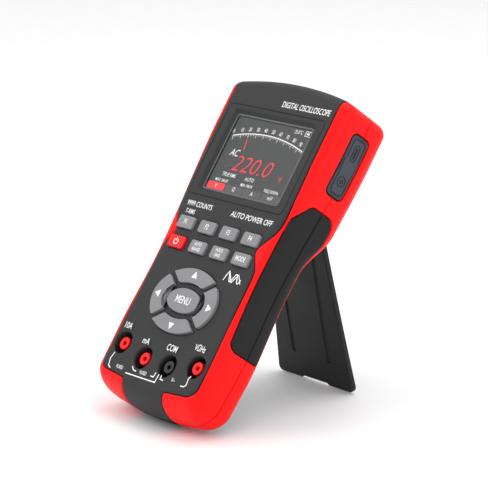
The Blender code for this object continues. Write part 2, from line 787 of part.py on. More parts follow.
def battery(materials):
    low, high = CELL_SPAN
    profile = [(0, high), (2.8, high), (2.8, high - 1.0), (CELL_RADIUS, high - 1.0),
               (CELL_RADIUS, low), (0, low)]
    turned("battery_cell", profile, materials["cell"], (0, CELL_V, CELL_W), "u", 20)
    top = BOARD_BACK - GAP
    for name, u in (("negative", low - GAP - 0.8), ("positive", high + GAP)):
        plate = box((u, CELL_V - 5, CELL_W - 5), (u + 0.8, CELL_V + 5, top))
        make_object(f"battery_contact_{name}", plate, materials["brass"])
    door = box((-DOOR_HALF, DOOR_V[0], -BACK_HIGH), (DOOR_HALF, DOOR_V[1], DOOR_THICK - BACK_HIGH))
    make_object("battery_door", door, materials["case"])


def fasteners(materials):
    for name, place in zip(("bottom_left", "bottom_right", "top_left", "top_right"), SCREW_PLACES):
        seat = screw_seat(place)
        tip = -6.0
        profile = [(0, tip), (SCREW_SHAFT, tip), (SCREW_SHAFT, seat), (SCREW_HEAD, seat),
                   (SCREW_HEAD, seat - 1.8), (0, seat - 1.8)]
        turned(f"case_screw_{name}", profile, materials["steel"], (*place, 0), steps=12)


# ---------------------------------------------------------------- stand


def stand_angle():
    """Slope of the open stand below the horizontal, with its foot's low edge on the ground."""
    rise = HINGE_V * sin(LEAN) + HINGE_W * cos(LEAN) - ground_level()
    corner = hypot(STAND_LENGTH, STAND_THICK / 2)
    return asin(rise / corner) - atan2(STAND_THICK / 2, STAND_LENGTH)


def ground_level():
    """Height of the body's lowest point, in the tilted frame before it is set on the ground."""
    form = envelope(0)
    lowest = min(p.co.y * sin(LEAN) + p.co.z * cos(LEAN) for p in form.verts) / MM
    form.free()
    return lowest


def stand(materials):
    """The stand plate with its knuckle, drawn hanging from the hinge and then turned open."""
    steps = 6
    hinge = (0, HINGE_V, HINGE_W)
    right = [(STAND_TOP_HALF, PLATE_START)]
    for k in range(1, steps + 1):
        t = k / steps
        flare = 0.75 * t + 0.25 * t * t
        half = STAND_TOP_HALF + (STAND_FOOT_HALF - STAND_TOP_HALF) * flare
        right.append((half, PLATE_START - t * (STAND_LENGTH + PLATE_START - FOOT_RADIUS)))
    right += arc((STAND_FOOT_HALF - FOOT_RADIUS, FOOT_RADIUS - STAND_LENGTH), FOOT_RADIUS, -20, -90, 3)
    right += [(NOTCH_HALF + 1.5, -STAND_LENGTH), (NOTCH_HALF, NOTCH_DEPTH - STAND_LENGTH)]
    shape = prism(mirrored(right), -STAND_THICK / 2, STAND_THICK / 2)
    plate = make_object("stand", shape, materials["stand"], hinge)

    knuckle = cylinder((0, 0), KNUCKLE_RADIUS, -STAND_TOP_HALF, STAND_TOP_HALF, "u", 20)
    boolean(plate, "UNION", make_object("add_knuckle", knuckle, None, hinge))
    bore = cylinder((0, 0), PIN_RADIUS + GAP, -60, 60, "u", 12)
    boolean(plate, "DIFFERENCE", make_object("cut_knuckle_bore", bore, None, hinge))
    grooves = []
    for u in (-GROOVE_U, GROOVE_U):
        low = (u - GROOVE_HALF, GROOVE_END - STAND_LENGTH, STAND_THICK / 2 - GROOVE_DEPTH)
        grooves.append(box(low, (u + GROOVE_HALF, GROOVE_START, STAND_THICK)))
    boolean(plate, "DIFFERENCE", make_object("cut_grooves", joined(*grooves), None, hinge))
    for obj in [plate] + [modifier.object for modifier in plate.modifiers]:
        obj.rotation_euler.x = pi - stand_angle() - LEAN

    pin = [(0, PIN_HALF), (PIN_RADIUS, PIN_HALF), (PIN_RADIUS, -PIN_HALF), (0, -PIN_HALF)]
    turned("stand_pin", pin, materials["steel"], hinge, "u", 12)


# ---------------------------------------------------------------- assembly


def place_meter():
    """Tilt the meter and set it down: centred over the origin, lowest point on the ground."""
    form = envelope(0)
    depths = [p.co.y * cos(LEAN) - p.co.z * sin(LEAN) for p in form.verts]
    form.free()
    METER.rotation_euler.x = LEAN
    METER.location = (0, -(min(depths) + max(depths)) / 2, -ground_level() * MM)


clear_scene()
PARTS = bpy.data.collections.new("digital_oscilloscope")
CUTTERS = bpy.data.collections.new("cutters")
bpy.context.scene.collection.children.link(PARTS)
bpy.context.scene.collection.children.link(CUTTERS)
METER = bpy.data.objects.new("meter", None)
PARTS.objects.link(METER)

MATERIALS = {
    "case": make_material("case", (0.055, 0.056, 0.06), 0.55),
    "overmould": make_material("overmould", (0.95, 0.02, 0.02), 0.45),
    "grip": make_material("grip", (0.025, 0.026, 0.026), 0.6),
    "stand": make_material("stand", (0.018, 0.018, 0.018), 0.5),
    "cover": make_material("cover", (0.09, 0.1, 0.12), 0.7),
    "glass": make_material("glass", (0.05, 0.05, 0.05), 0.1),
    "screen": make_material("screen", (0.02, 0.02, 0.02), 0.2),
    "key": make_material("key", (0.33, 0.33, 0.34), 0.5),
    "power_key": make_material("power_key", (0.85, 0.02, 0.02), 0.5),
    "silicone": make_material("silicone", (0.3, 0.3, 0.3), 0.7),
    "board": make_material("board", (0.02, 0.15, 0.05), 0.5),
    "chip": make_material("chip", (0.02, 0.02, 0.02), 0.4),
    "steel": make_material("steel", (0.6, 0.6, 0.6), 0.35, 1.0),
    "brass": make_material("brass", (0.8, 0.6, 0.3), 0.3, 1.0),
    "jack_red": make_material("jack_red", (0.8, 0.02, 0.02), 0.4),
    "jack_black": make_material("jack_black", (0.02, 0.02, 0.02), 0.4),
    "cell": make_material("cell", (0.1, 0.25, 0.6), 0.4),
}

TOOLS = make_cutters()
front_case(TOOLS, MATERIALS["case"])
rear_case(TOOLS, MATERIALS["case"])
bumpers(TOOLS, MATERIALS["overmould"])
grips(TOOLS, MATERIALS["grip"])
port_cover(TOOLS, MATERIALS["cover"])
display(MATERIALS)
keypad(MATERIALS)
main_board(MATERIALS)
jacks(MATERIALS)
fuses(MATERIALS)
ports(MATERIALS)
battery(MATERIALS)
fasteners(MATERIALS)
stand(MATERIALS)
place_meter()
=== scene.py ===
"""Finished surfaces of a handheld oscilloscope and multimeter on its folding stand.

All of it is drawn in the meter's own frame, in millimetres: u to the right, v up the face from the
bottom end, w out of the face. PLACE turns that frame into the world, in metres.
The body is one fine skin, split along every seam and opening. Its edges are rolled over by their
distance to the seam, and each region becomes a piece with walls.
"""

from math import acos, atan2, cos, degrees, hypot, pi, radians, sin

import bmesh
import bpy
import numpy as np
from mathutils import Matrix, Vector
from mathutils.bvhtree import BVHTree


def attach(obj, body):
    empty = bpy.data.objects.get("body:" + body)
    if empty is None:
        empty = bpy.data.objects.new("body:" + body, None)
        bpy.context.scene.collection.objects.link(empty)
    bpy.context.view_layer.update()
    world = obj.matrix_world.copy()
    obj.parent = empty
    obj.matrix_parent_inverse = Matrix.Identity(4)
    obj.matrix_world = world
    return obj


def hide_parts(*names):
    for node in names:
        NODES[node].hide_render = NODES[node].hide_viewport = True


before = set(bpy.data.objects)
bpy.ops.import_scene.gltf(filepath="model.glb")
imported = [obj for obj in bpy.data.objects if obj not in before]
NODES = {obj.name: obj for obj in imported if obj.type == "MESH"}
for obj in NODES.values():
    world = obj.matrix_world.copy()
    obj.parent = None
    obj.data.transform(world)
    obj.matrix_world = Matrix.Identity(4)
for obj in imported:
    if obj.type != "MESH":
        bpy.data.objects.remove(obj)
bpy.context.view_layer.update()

LEAN = radians(55.6)
PLACE = (Matrix.Translation((0, -0.0665392, 0.0114958)) @ Matrix.Rotation(LEAN, 4, "X")
         @ Matrix.Scale(0.001, 4))

# Body form
BODY_TOP = 179.0
LOWER_HALF = 42.3
BOTTOM_TAPER = 1.6
WAIST_HALF = 40.3
HEAD_HALF = 44.5
BACK_LOW = 28.0
BACK_HIGH = 36.0
JACK_RISE = 0.8
FRONT_RADIUS = 7.5
BACK_RADIUS = 9.0
BOTTOM_END_RADIUS = 11.0
TOP_END_RADIUS = 5.0
BOTTOM_ROLL = 1.45
BOTTOM_CROWN = 5.5
TOP_CROWN = 4.6
CROWN_REACH = 32.0
SMALLEST_RADIUS = 0.4
CELL = 0.95
SKIN = 1.5
SEAM_HALF = 0.16
EDGE_ROLL = 0.6
COVER_GAP = 0.3
SMOOTH_BELOW = 40

# Outlines
PANEL_HALF = 39.0
TONGUE_HALF = 15.7
BACK_MARGIN = 5.5
DISPLAY_V = 136.1
WINDOW_SIZE = (61.6, 46.8)
WINDOW_BEVEL = 2.0
WINDOW_DEPTH = 1.6
LENS_SIZE = (66.0, 51.0)
LENS_TOP = -1.8
SCREEN_SIZE = (62.0, 48.0)
SCREEN_TOP = -2.25
SCREEN_FLOOR = -7.0
SCREEN_INK = -2.2
SURROUND = (71.4, 51.3)
KEY_SIZE = (11.8, 6.6)
KEY_RADIUS = 1.2
KEY_PITCH = 16.5
KEY_ROWS = (94.8, 83.9)
KEY_GAP = 0.3
KEY_PROUD = 1.5
KEY_SKIRT = -3.1
KEY_FLANGE = 0.2
KEY_FLOOR = -4.5
KEY_RIM = 0.55
KEY_FLAT = 0.85
PAD_RIM = 0.3
PAD_V = 56.1
PAD_HALF = (23.45, 17.2)
PAD_INNER = (15.4, 9.6)
PAD_WEB = 1.4
MENU_HALF = (12.05, 6.45)
JACKS = (("10a", -28.6, 27.2), ("ma", -9.5, 23.2), ("com", 9.5, 23.2), ("volt", 28.6, 27.2))
WELL_RADIUS = 5.8
WELL_FLOOR = -7.1
POST_RADIUS = 3.3
POST_TOP = -1.0
POST_LIP = 0.35
COVER_V = (130.8, 163.6)
COVER_W = (-24.6, -12.2)
COVER_RADIUS = 3.0
PORT_V = (133.5, 161.0)
PORT_W = (-22.6, -14.2)
HINGE = (0.0, 128.2, -33.5)
STAND_OPEN = radians(45.720396)
STAND_LENGTH = 100.0
STAND_THICK = 3.0
STAND_TOP = -1.9
STAND_TOP_HALF = 20.5
STAND_FLARE = 8.0
STAND_ROLL = 0.7
FOOT_RADIUS = 3.0
KNUCKLE_RADIUS = 2.7
GROOVE_U = 13.0
GROOVE_MIDDLE = -49.0
POCKET_HALF = 24.0
POCKET_V = (88.0, 131.6)
RECESS_FLOOR = -31.4
DOOR_V = (136.5, 162.0)
DOOR_HALF = 31.0
SCREWS = ((-30.5, 15.0), (30.5, 15.0), (-34.0, 165.5), (34.0, 165.5))
SCREW_HOLE = 3.1
FAR = 99.0


# ---------------------------------------------------------------- curves


def step(low, high, x):
    t = np.clip((x - low) / (high - low), 0.0, 1.0)
    return t * t * (3 - 2 * t)


def arc(centre, radius, start, end, steps):
    angles = [radians(start + (end - start) * k / steps) for k in range(steps + 1)]
    return [(centre[0] + radius * cos(a), centre[1] + radius * sin(a)) for a in angles]


def rounded_rectangle(width, height, radius, steps=8):
    x, y = width / 2 - radius, height / 2 - radius
    corners = ((x, y, 0), (-x, y, 90), (-x, -y, 180), (x, -y, 270))
    return [p for cx, cy, a in corners for p in arc((cx, cy), radius, a, a + 90, steps)]


def ellipse(half_x, half_y, steps=72):
    return [(half_x * cos(2 * pi * k / steps), half_y * sin(2 * pi * k / steps)) for k in range(steps)]


def rounded_path(points, steps=8):
    """A closed outline from (x, y, radius) corners."""
    result = []
    for i, (x, y, radius) in enumerate(points):
        here = Vector((x, y))
        before = (Vector(points[i - 1][:2]) - here).normalized()
        after = (Vector(points[(i + 1) % len(points)][:2]) - here).normalized()
        half_angle = acos(max(-1.0, min(1.0, before.dot(after)))) / 2
        first = here + before * radius * cos(half_angle) / sin(half_angle)
        centre = here + (before + after).normalized() * (radius / sin(half_angle))
        last = here + after * radius * cos(half_angle) / sin(half_angle)
        a0 = atan2(first.y - centre.y, first.x - centre.x)
        a1 = atan2(last.y - centre.y, last.x - centre.x)
        turn = (a1 - a0 + pi) % (2 * pi) - pi
        for k in range(steps + 1):
            a = a0 + turn * k / steps
            result.append((centre.x + radius * cos(a), centre.y + radius * sin(a)))
    return result


def smooth_line(points, steps=6):
    """An open Catmull-Rom curve through the points."""
    p = [points[0]] + list(points) + [points[-1]]
    result = []
    for i in range(1, len(p) - 2):
        for k in range(steps):
            t = k / steps
            weights = (-t ** 3 + 2 * t * t - t, 3 * t ** 3 - 5 * t * t + 2,
                       -3 * t ** 3 + 4 * t * t + t, t ** 3 - t * t)
            result.append(tuple(sum(w * q[axis] for w, q in zip(weights, p[i - 1:i + 3])) / 2
                                for axis in (0, 1)))
    return result + [points[-1]]


def area(outline):
    pairs = zip(outline, outline[1:] + outline[:1])
    return sum(a[0] * b[1] - b[0] * a[1] for a, b in pairs) / 2


def grown(outline, distance):
    """The outline moved outwards by distance, corner by corner."""
    side = 1 if area(outline) > 0 else -1
    result = []
    for i, point in enumerate(outline):
        here = Vector(point)
        along = (here - Vector(outline[i - 1])).normalized()
        onward = (Vector(outline[(i + 1) % len(outline)]) - here).normalized()
        normals = [Vector((d.y, -d.x)) * side for d in (along, onward)]
        middle = (normals[0] + normals[1]).normalized()
        result.append(tuple(here + middle * distance / max(middle.dot(normals[0]), 0.5)))
    return result


def softened(outline, radius, limit=25):
    """The outline with each sharp corner turned by a short arc."""
    result = []
    for i, point in enumerate(outline):
        here = Vector(point)
        back = Vector(outline[i - 1]) - here
        on = Vector(outline[(i + 1) % len(outline)]) - here
        turn = 180 - degrees(back.angle(on))
        if turn < limit:
            result.append(point)
            continue
        a = here + back.normalized() * min(radius, back.length * 0.45)
        b = here + on.normalized() * min(radius, on.length * 0.45)
        for k in range(5):
            t = k / 4
            result.append(tuple(a * (1 - t) ** 2 + here * 2 * t * (1 - t) + b * t * t))
    return result


def mirrored(right_half):
    """A closed outline from its right half."""
    return right_half + [(-x, y) for x, y in reversed(right_half)]


def pad_sector(direction):
    """One quarter of the ring pad; direction 0 is right, 1 up, 2 left, 3 down."""
    diagonal = atan2(PAD_HALF[1], PAD_HALF[0])
    centre = direction * pi / 2
    limits = (-diagonal, diagonal) if direction % 2 == 0 else (diagonal - pi / 2, pi / 2 - diagonal)

    def curve(half, steps):
        points = []
        for k in range(steps + 1):
            edge = limits[0] + (limits[1] - limits[0]) * k / steps
            trim = PAD_WEB if k == 0 else -PAD_WEB if k == steps else 0.0
            a = centre + edge
            radius = 1 / hypot(cos(a) / half[0], sin(a) / half[1])
            x, y = radius * cos(a), radius * sin(a)
            points.append((x - trim * sin(a), y + trim * cos(a)))
        return points

    return softened(curve(PAD_HALF, 12) + curve(PAD_INNER, 9)[::-1], 1.5)


# ---------------------------------------------------------------- body form


def body_half_width(v):
    lower = (LOWER_HALF - BOTTOM_TAPER * (1 - step(5, 45, v))
             + (WAIST_HALF - LOWER_HALF) * step(30, 75, v))
    upper = WAIST_HALF + (HEAD_HALF - WAIST_HALF) * step(75, 155, v)
    return lower if v < 75 else upper


def outer_back(v):
    return BACK_LOW + (BACK_HIGH - BACK_LOW) * step(91, 116, v)


def front_rise(v):
    return JACK_RISE * (1 - step(12, 36, v))


def crown(u, v):
    across = (u / HEAD_HALF) ** 2
    bottom = BOTTOM_CROWN * across * (1 - step(0, CROWN_REACH, v))
    top = TOP_CROWN * across * step(BODY_TOP - CROWN_REACH, BODY_TOP, v)
    return bottom - top


def section(v, inset, front_inset):
    """A ring of (u, w) round the body at v, finely and evenly divided."""
    half = body_half_width(v) - inset
    top = front_rise(v) - front_inset
    bottom = inset - outer_back(v)
    front_r = max(FRONT_RADIUS - inset, SMALLEST_RADIUS)
    back_r = max(BACK_RADIUS - inset, SMALLEST_RADIUS)
    across, down = 84, 20
    f = [2 * j / across - 1 for j in range(across + 1)]
    ring = [(x * (half - front_r), top) for x in f]
    ring += arc((half - front_r, top - front_r), front_r, 90, 0, 9)[1:]
    low, high = bottom + back_r, top - front_r
    ring += [(half, high + (low - high) * j / down) for j in range(1, down)]
    ring += arc((half - back_r, low), back_r, 0, -90, 9)
    ring += [(-x * (half - back_r), bottom) for x in f[1:]]
    ring += arc((back_r - half, low), back_r, -90, -180, 9)[1:]
    ring += [(-half, low + (high - low) * j / down) for j in range(1, down)]
    ring += arc((front_r - half, high), front_r, 180, 90, 9)[:-1]
    return ring


def body_places():
    """(v, inset, front inset) of each ring, from the middle of the bottom end to that of the top."""
    places = []
    steps = 14
    for k in range(steps + 1):
        a = pi / 2 * k / steps
        extra = BOTTOM_END_RADIUS * (1 - sin(a))
        places.append((BOTTOM_END_RADIUS * (1 - cos(a)), extra, extra * BOTTOM_ROLL))
    first, last = BOTTOM_END_RADIUS, BODY_TOP - TOP_END_RADIUS
    count = int((last - first) / CELL)
    places += [(first + (last - first) * k / count, 0.0, 0.0) for k in range(1, count)]
    steps = 8
    for k in range(steps + 1):
        a = pi / 2 * (1 - k / steps)
        extra = TOP_END_RADIUS * (1 - sin(a))
        places.append((BODY_TOP - TOP_END_RADIUS * (1 - cos(a)), extra, extra))
    places += [(BODY_TOP, TOP_END_RADIUS + k, TOP_END_RADIUS + k) for k in range(1, 13)]
    return places


def body_skin():
    bm = bmesh.new()
    rings = []
    for v, inset, front_inset in body_places():
        ring = section(v, inset, front_inset)
        rings.append([bm.verts.new((u, v + crown(u, v), w)) for u, w in ring])
    count = len(rings[0])
    for ring, after in zip(rings, rings[1:]):
        for i in range(count):
            j = (i + 1) % count
            bm.faces.new((ring[i], ring[j], after[j], after[i]))
    bm.faces.new(rings[0])
    bm.faces.new(rings[-1])
    bmesh.ops.recalc_face_normals(bm, faces=bm.faces)
    return bm


def parting_w(v):
    return -14.8 - 0.025 * v


def panel_outline():
    curve = [(38.95, 112), (38.6, 106.5), (37.3, 101.0), (34.4, 96.2), (31.8, 92.8), (30.7, 90.4),
             (31.2, 88.2), (33.0, 85.2), (34.9, 82.0), (35.9, 78.0), (36.2, 60.0), (36.8, 30.0)]
    half = [(PANEL_HALF, BODY_TOP + 12), (PANEL_HALF, 118)] + smooth_line(curve)
    half += arc((30.6, 18.4), 6.3, 8, -80, 12)
    half += smooth_line([(24.0, 11.5), (TONGUE_HALF + 1.9, 10.9), (TONGUE_HALF + 0.4, 10.1),
                         (TONGUE_HALF, 8.0)], 4)
    half += [(TONGUE_HALF, -12)]
    return mirrored(half)


def back_outline():
    half = [(PANEL_HALF, BODY_TOP + 12)]
    half += [(float(body_half_width(v)) - BACK_MARGIN, v) for v in (155, 135, 115, 95, 75, 55, 40, 20)]
    half += arc((29.0, 13.0), 8.0, 0, -90, 12)
    half += [(TONGUE_HALF + 2, 5.0), (TONGUE_HALF + 0.4, 4.0), (TONGUE_HALF, 2.5), (TONGUE_HALF, -12)]
    return mirrored(half)


def grip_outline():
    corners = [(41.0, -2.8, 4.5), (111.0, -2.6, 8.0), (121.3, -10.0, 5.0), (121.3, -27.6, 6.0)]
    corners += [(108.0, -28.6, 8.0), (97.0, -25.2, 10.0), (40.6, -25.2, 2.0)]
    return rounded_path(corners)


# ---------------------------------------------------------------- distances


def distance_to(outline, x, y):
    """Signed distance of many points to a closed outline, negative inside."""
    a = np.array(outline)
    b = np.roll(a, -1, axis=0)
    best = np.full(len(x), 1e9)
    inside = np.zeros(len(x), bool)
    for (ax, ay), (bx, by) in zip(a, b):
        dx, dy = bx - ax, by - ay
        length = dx * dx + dy * dy
        if length < 1e-12:
            continue
        t = np.clip(((x - ax) * dx + (y - ay) * dy) / length, 0, 1)
        best = np.minimum(best, (x - ax - t * dx) ** 2 + (y - ay - t * dy) ** 2)
        if ay != by:
            inside ^= ((ay > y) != (by > y)) & (x < dx * (y - ay) / dy + ax)
    return np.where(inside, -1.0, 1.0) * np.sqrt(best)


def rectangle_distance(x, y, centre, size, radius):
    qx = np.abs(x - centre[0]) - size[0] / 2 + radius
    qy = np.abs(y - centre[1]) - size[1] / 2 + radius
    outer = np.hypot(np.maximum(qx, 0), np.maximum(qy, 0))
    return outer + np.minimum(np.maximum(qx, qy), 0) - radius


PANEL = panel_outline()
BACK = back_outline()
GRIP = grip_outline()


def to_parting(p):
    return p[:, 2] - parting_w(p[:, 1])


def front_only(p, value):
    return np.where(to_parting(p) > -1e-4, value, FAR)


def rear_only(p, value):
    return np.where(to_parting(p) < 1e-4, value, FAR)


def to_panel(p):
    return front_only(p, distance_to(PANEL, p[:, 0], p[:, 1]))


def to_back(p):
    return rear_only(p, distance_to(BACK, p[:, 0], p[:, 1]))


def to_grip(p):
    return np.where(np.abs(p[:, 0]) > 30, distance_to(GRIP, p[:, 1], p[:, 2]), FAR)


def to_cover(p):
    centre = (sum(COVER_V) / 2, sum(COVER_W) / 2)
    size = (COVER_V[1] - COVER_V[0], COVER_W[1] - COVER_W[0])
    return np.where(p[:, 0] > 30, rectangle_distance(p[:, 1], p[:, 2], centre, size, COVER_RADIUS), FAR)


def to_door(p):
    centre = (0, sum(DOOR_V) / 2)
    size = (2 * DOOR_HALF, DOOR_V[1] - DOOR_V[0])
    return rear_only(p, rectangle_distance(p[:, 0], p[:, 1], centre, size, 1.0))


def to_pocket(p):
    centre = (0, sum(POCKET_V) / 2)
    size = (2 * POCKET_HALF, POCKET_V[1] - POCKET_V[0])
    return rear_only(p, rectangle_distance(p[:, 0], p[:, 1], centre, size, 0.6))


def to_screws(p):
    best = np.full(len(p), FAR)
    for u, v in SCREWS:
        best = np.minimum(best, np.hypot(p[:, 0] - u, p[:, 1] - v) - SCREW_HOLE)
    return rear_only(p, best)


def to_window(p):
    return front_only(p, rectangle_distance(p[:, 0], p[:, 1], (0, DISPLAY_V), WINDOW_SIZE, 1.5))


def to_surround(p):
    return front_only(p, rectangle_distance(p[:, 0], p[:, 1], (0, DISPLAY_V), SURROUND, 2.6))


def key_places():
    """Name, centre and outline of every key."""
    names = iter(("key_f1", "key_f2", "key_f3", "key_f4", "key_power", "key_range", "key_hold", "key_mode"))
    places = []
    for v in KEY_ROWS:
        for k in range(4):
            outline = rounded_rectangle(*KEY_SIZE, KEY_RADIUS)
            places.append((next(names), ((k - 1.5) * KEY_PITCH, v), outline))
    for direction, name in enumerate(("key_right", "key_up", "key_left", "key_down")):
        places.append((name, (0.0, PAD_V), pad_sector(direction)))
    places.append(("key_menu", (0.0, PAD_V), ellipse(*MENU_HALF)))
    return places


KEYS = key_places()


def to_keys(p):
    best = np.full(len(p), FAR)
    for _, (u, v), outline in KEYS:
        near = (np.abs(p[:, 0] - u) < 28) & (np.abs(p[:, 1] - v) < 22) & (p[:, 2] > -4)
        value = distance_to(outline, p[near, 0] - u, p[near, 1] - v) - KEY_GAP
        best[near] = np.minimum(best[near], value)
    return best


def to_wells(p):
    best = np.full(len(p), FAR)
    for _, u, v in JACKS:
        best = np.minimum(best, np.hypot(p[:, 0] - u, p[:, 1] - v) - WELL_RADIUS)
    return front_only(p, best)


def to_seam(p):
    """Distance to the nearest seam between two pieces of the skin."""
    cover = to_cover(p)
    parting = np.where(cover < 0, FAR, np.abs(to_parting(p)))
    seams = [parting, np.maximum(np.abs(cover) - COVER_GAP, 0)]
    seams += [np.abs(distance(p)) for distance in (to_grip, to_panel, to_back, to_door)]
    return np.minimum.reduce(seams)


def split_along(bm, distance, levels=(0.0,)):
    """Cuts the skin's faces exactly along the given levels of a distance."""
    for level in levels:
        bm.verts.index_update()
        points = np.array([v.co for v in bm.verts])
        value = distance(points) - level
        value[np.abs(value) < 0.02] = 0.0
        far = np.abs(value) > 3.0
        cut = [v for v, x in zip(bm.verts, value) if x == 0.0]
        for edge in list(bm.edges):
            a, b = edge.verts[0].index, edge.verts[1].index
            if value[a] * value[b] < 0 and not far[a] and not far[b]:
                _, vert = bmesh.utils.edge_split(edge, edge.verts[0], value[a] / (value[a] - value[b]))
                cut.append(vert)
        bmesh.ops.connect_verts(bm, verts=cut)


def roll(distance, start, radius):
    """Depth of a rounded edge that begins at start from a seam."""
    t = np.clip((distance - start) / radius, 0, 1)
    return radius * (1 - np.sqrt(1 - (1 - t) ** 2))


def pocket_floor(v):
    seat = HINGE[2] + np.sqrt(np.maximum(3.4 ** 2 - (v - HINGE[1]) ** 2, 0))
    flat = RECESS_FLOOR + 2.6 * np.clip((97 - v) / 9, 0, 1)
    beyond = np.where(v < HINGE[1] - 1, flat, -FAR)
    return np.where(np.abs(v - HINGE[1]) < 3.4, np.maximum(seat, beyond), beyond)


REGIONS = ("front_panel", "rear_shell", "bumper_front_left", "bumper_front_right", "bumper_rear_left",
           "bumper_rear_right", "grip_front_left", "grip_front_right", "grip_rear_left",
           "grip_rear_right", "port_flap", "battery_lid", "pocket")


def region_of(points):
    """Region index of each face centre, or -1 where the skin is open."""
    front = to_parting(points) > 0
    right = points[:, 0] > 0
    result = np.where(front, 2, 4) + right
    dark = np.where(front, to_panel(points) < 0, to_back(points) < 0)
    result = np.where(dark, np.where(front, 0, 1), result)
    result = np.where(dark & ~front & (to_door(points) < 0), 11, result)
    result = np.where(dark & ~front & (to_pocket(points) < 0), 12, result)
    grip = to_grip(points) < 0
    result = np.where(grip, np.where(front, 6, 8) + right, result)
    result = np.where(to_cover(points) < 0, 10, result)
    holes = (to_keys(points) < 0) | (to_wells(points) < 0) | (to_window(points) < -WINDOW_BEVEL)
    holes |= (to_screws(points) < 0) | (to_seam(points) < SEAM_HALF)
    return np.where(holes, -1, result)


def skin_pieces():
    """The skin's points as formed and as rolled, normals, faces, face regions, and points beside a hole."""
    bm = body_skin()
    for distance in (to_parting, to_grip, to_cover, to_panel, to_back, to_door, to_pocket, to_screws):
        split_along(bm, distance)
    split_along(bm, to_window, (0.0, -WINDOW_BEVEL))
    split_along(bm, to_surround, (-0.45, 0.0, 0.45))
    split_along(bm, to_keys, (0.0, 0.1, 0.3))
    split_along(bm, to_wells, (0.0, 0.2, 0.5, 1.0))
    split_along(bm, to_cover, (-1.3, -1.6, -1.9))
    split_along(bm, to_seam, (SEAM_HALF, 0.24, 0.4, 0.76))
    bm.normal_update()
    bm.verts.index_update()
    points = np.array([v.co for v in bm.verts])
    normals = np.array([v.normal for v in bm.verts])
    faces = [[v.index for v in face.verts] for face in bm.faces]
    bm.free()
    centres = np.array([points[f].mean(axis=0) for f in faces])
    regions = region_of(centres)

    depth = roll(to_seam(points), SEAM_HALF, EDGE_ROLL)
    depth += roll(to_keys(points), 0.0, 0.3) + roll(to_wells(points), 0.0, 1.0)
    depth += 0.4 * np.clip(1 - np.abs(to_surround(points)) / 0.45, 0, 1)
    depth += 0.4 * np.clip(1 - np.abs(to_cover(points) + 1.6) / 0.3, 0, 1)
    window = to_window(points)
    depth += np.where(window < FAR / 2, WINDOW_DEPTH * np.clip(-window / WINDOW_BEVEL, 0, 1), 0)
    moved = points - normals * depth[:, None]
    hole = to_seam(points) > SEAM_HALF + 0.05
    return points, moved, normals, faces, regions, hole


def make_mesh(name, points, faces, material, sharp=SMOOTH_BELOW):
    mesh = bpy.data.meshes.new(name)
    mesh.from_pydata([tuple(p) for p in points], [], faces)
    mesh.transform(PLACE)
    mesh.materials.append(material)
    mesh.validate()
    mesh.shade_smooth()
    mesh.set_sharp_from_angle(angle=radians(sharp))
    obj = bpy.data.objects.new(name, mesh)
    bpy.context.scene.collection.objects.link(obj)
    return obj


def region_faces(skin, chosen):
    """The skin's point numbers that a region uses, and its faces renumbered to them."""
    faces, regions = skin[3:5]
    wanted = [faces[i] for i in np.flatnonzero(regions == REGIONS.index(chosen))]
    used = sorted({i for f in wanted for i in f})
    place = {old: new for new, old in enumerate(used)}
    return used, [[place[i] for i in f] for f in wanted]


def region_mesh(chosen, skin, material, wall=SKIN):
    """One region of the skin with walls going inwards from each of its edges."""
    moved, normals, hole = skin[1], skin[2], skin[5]
    used, new_faces = region_faces(skin, chosen)
    verts = [moved[i] for i in used]
    count = {}
    for f in new_faces:
        for a, b in zip(f, f[1:] + f[:1]):
            count[(a, b)] = count.get((a, b), 0) + 1
    lower = {}
    for a, b in [e for e in count if (e[1], e[0]) not in count]:
        for i in (a, b):
            if i not in lower:
                old = used[i]
                inward = normals[old] * wall
                if hole[old] and abs(normals[old][2]) > 0.7:
                    deep = 3.2 if normals[old][2] > 0 else 6.2
                    inward = np.array((0, 0, deep * np.sign(normals[old][2])))
                lower[i] = len(verts)
                verts.append(moved[old] - inward)
        new_faces.append([b, a, lower[a], lower[b]])
    return make_mesh(chosen, verts, new_faces, material)


# ---------------------------------------------------------------- materials


def node_of(tree, kind, **values):
    node = tree.nodes.new(kind)
    for key, value in values.items():
        setattr(node, key, value)
    return node


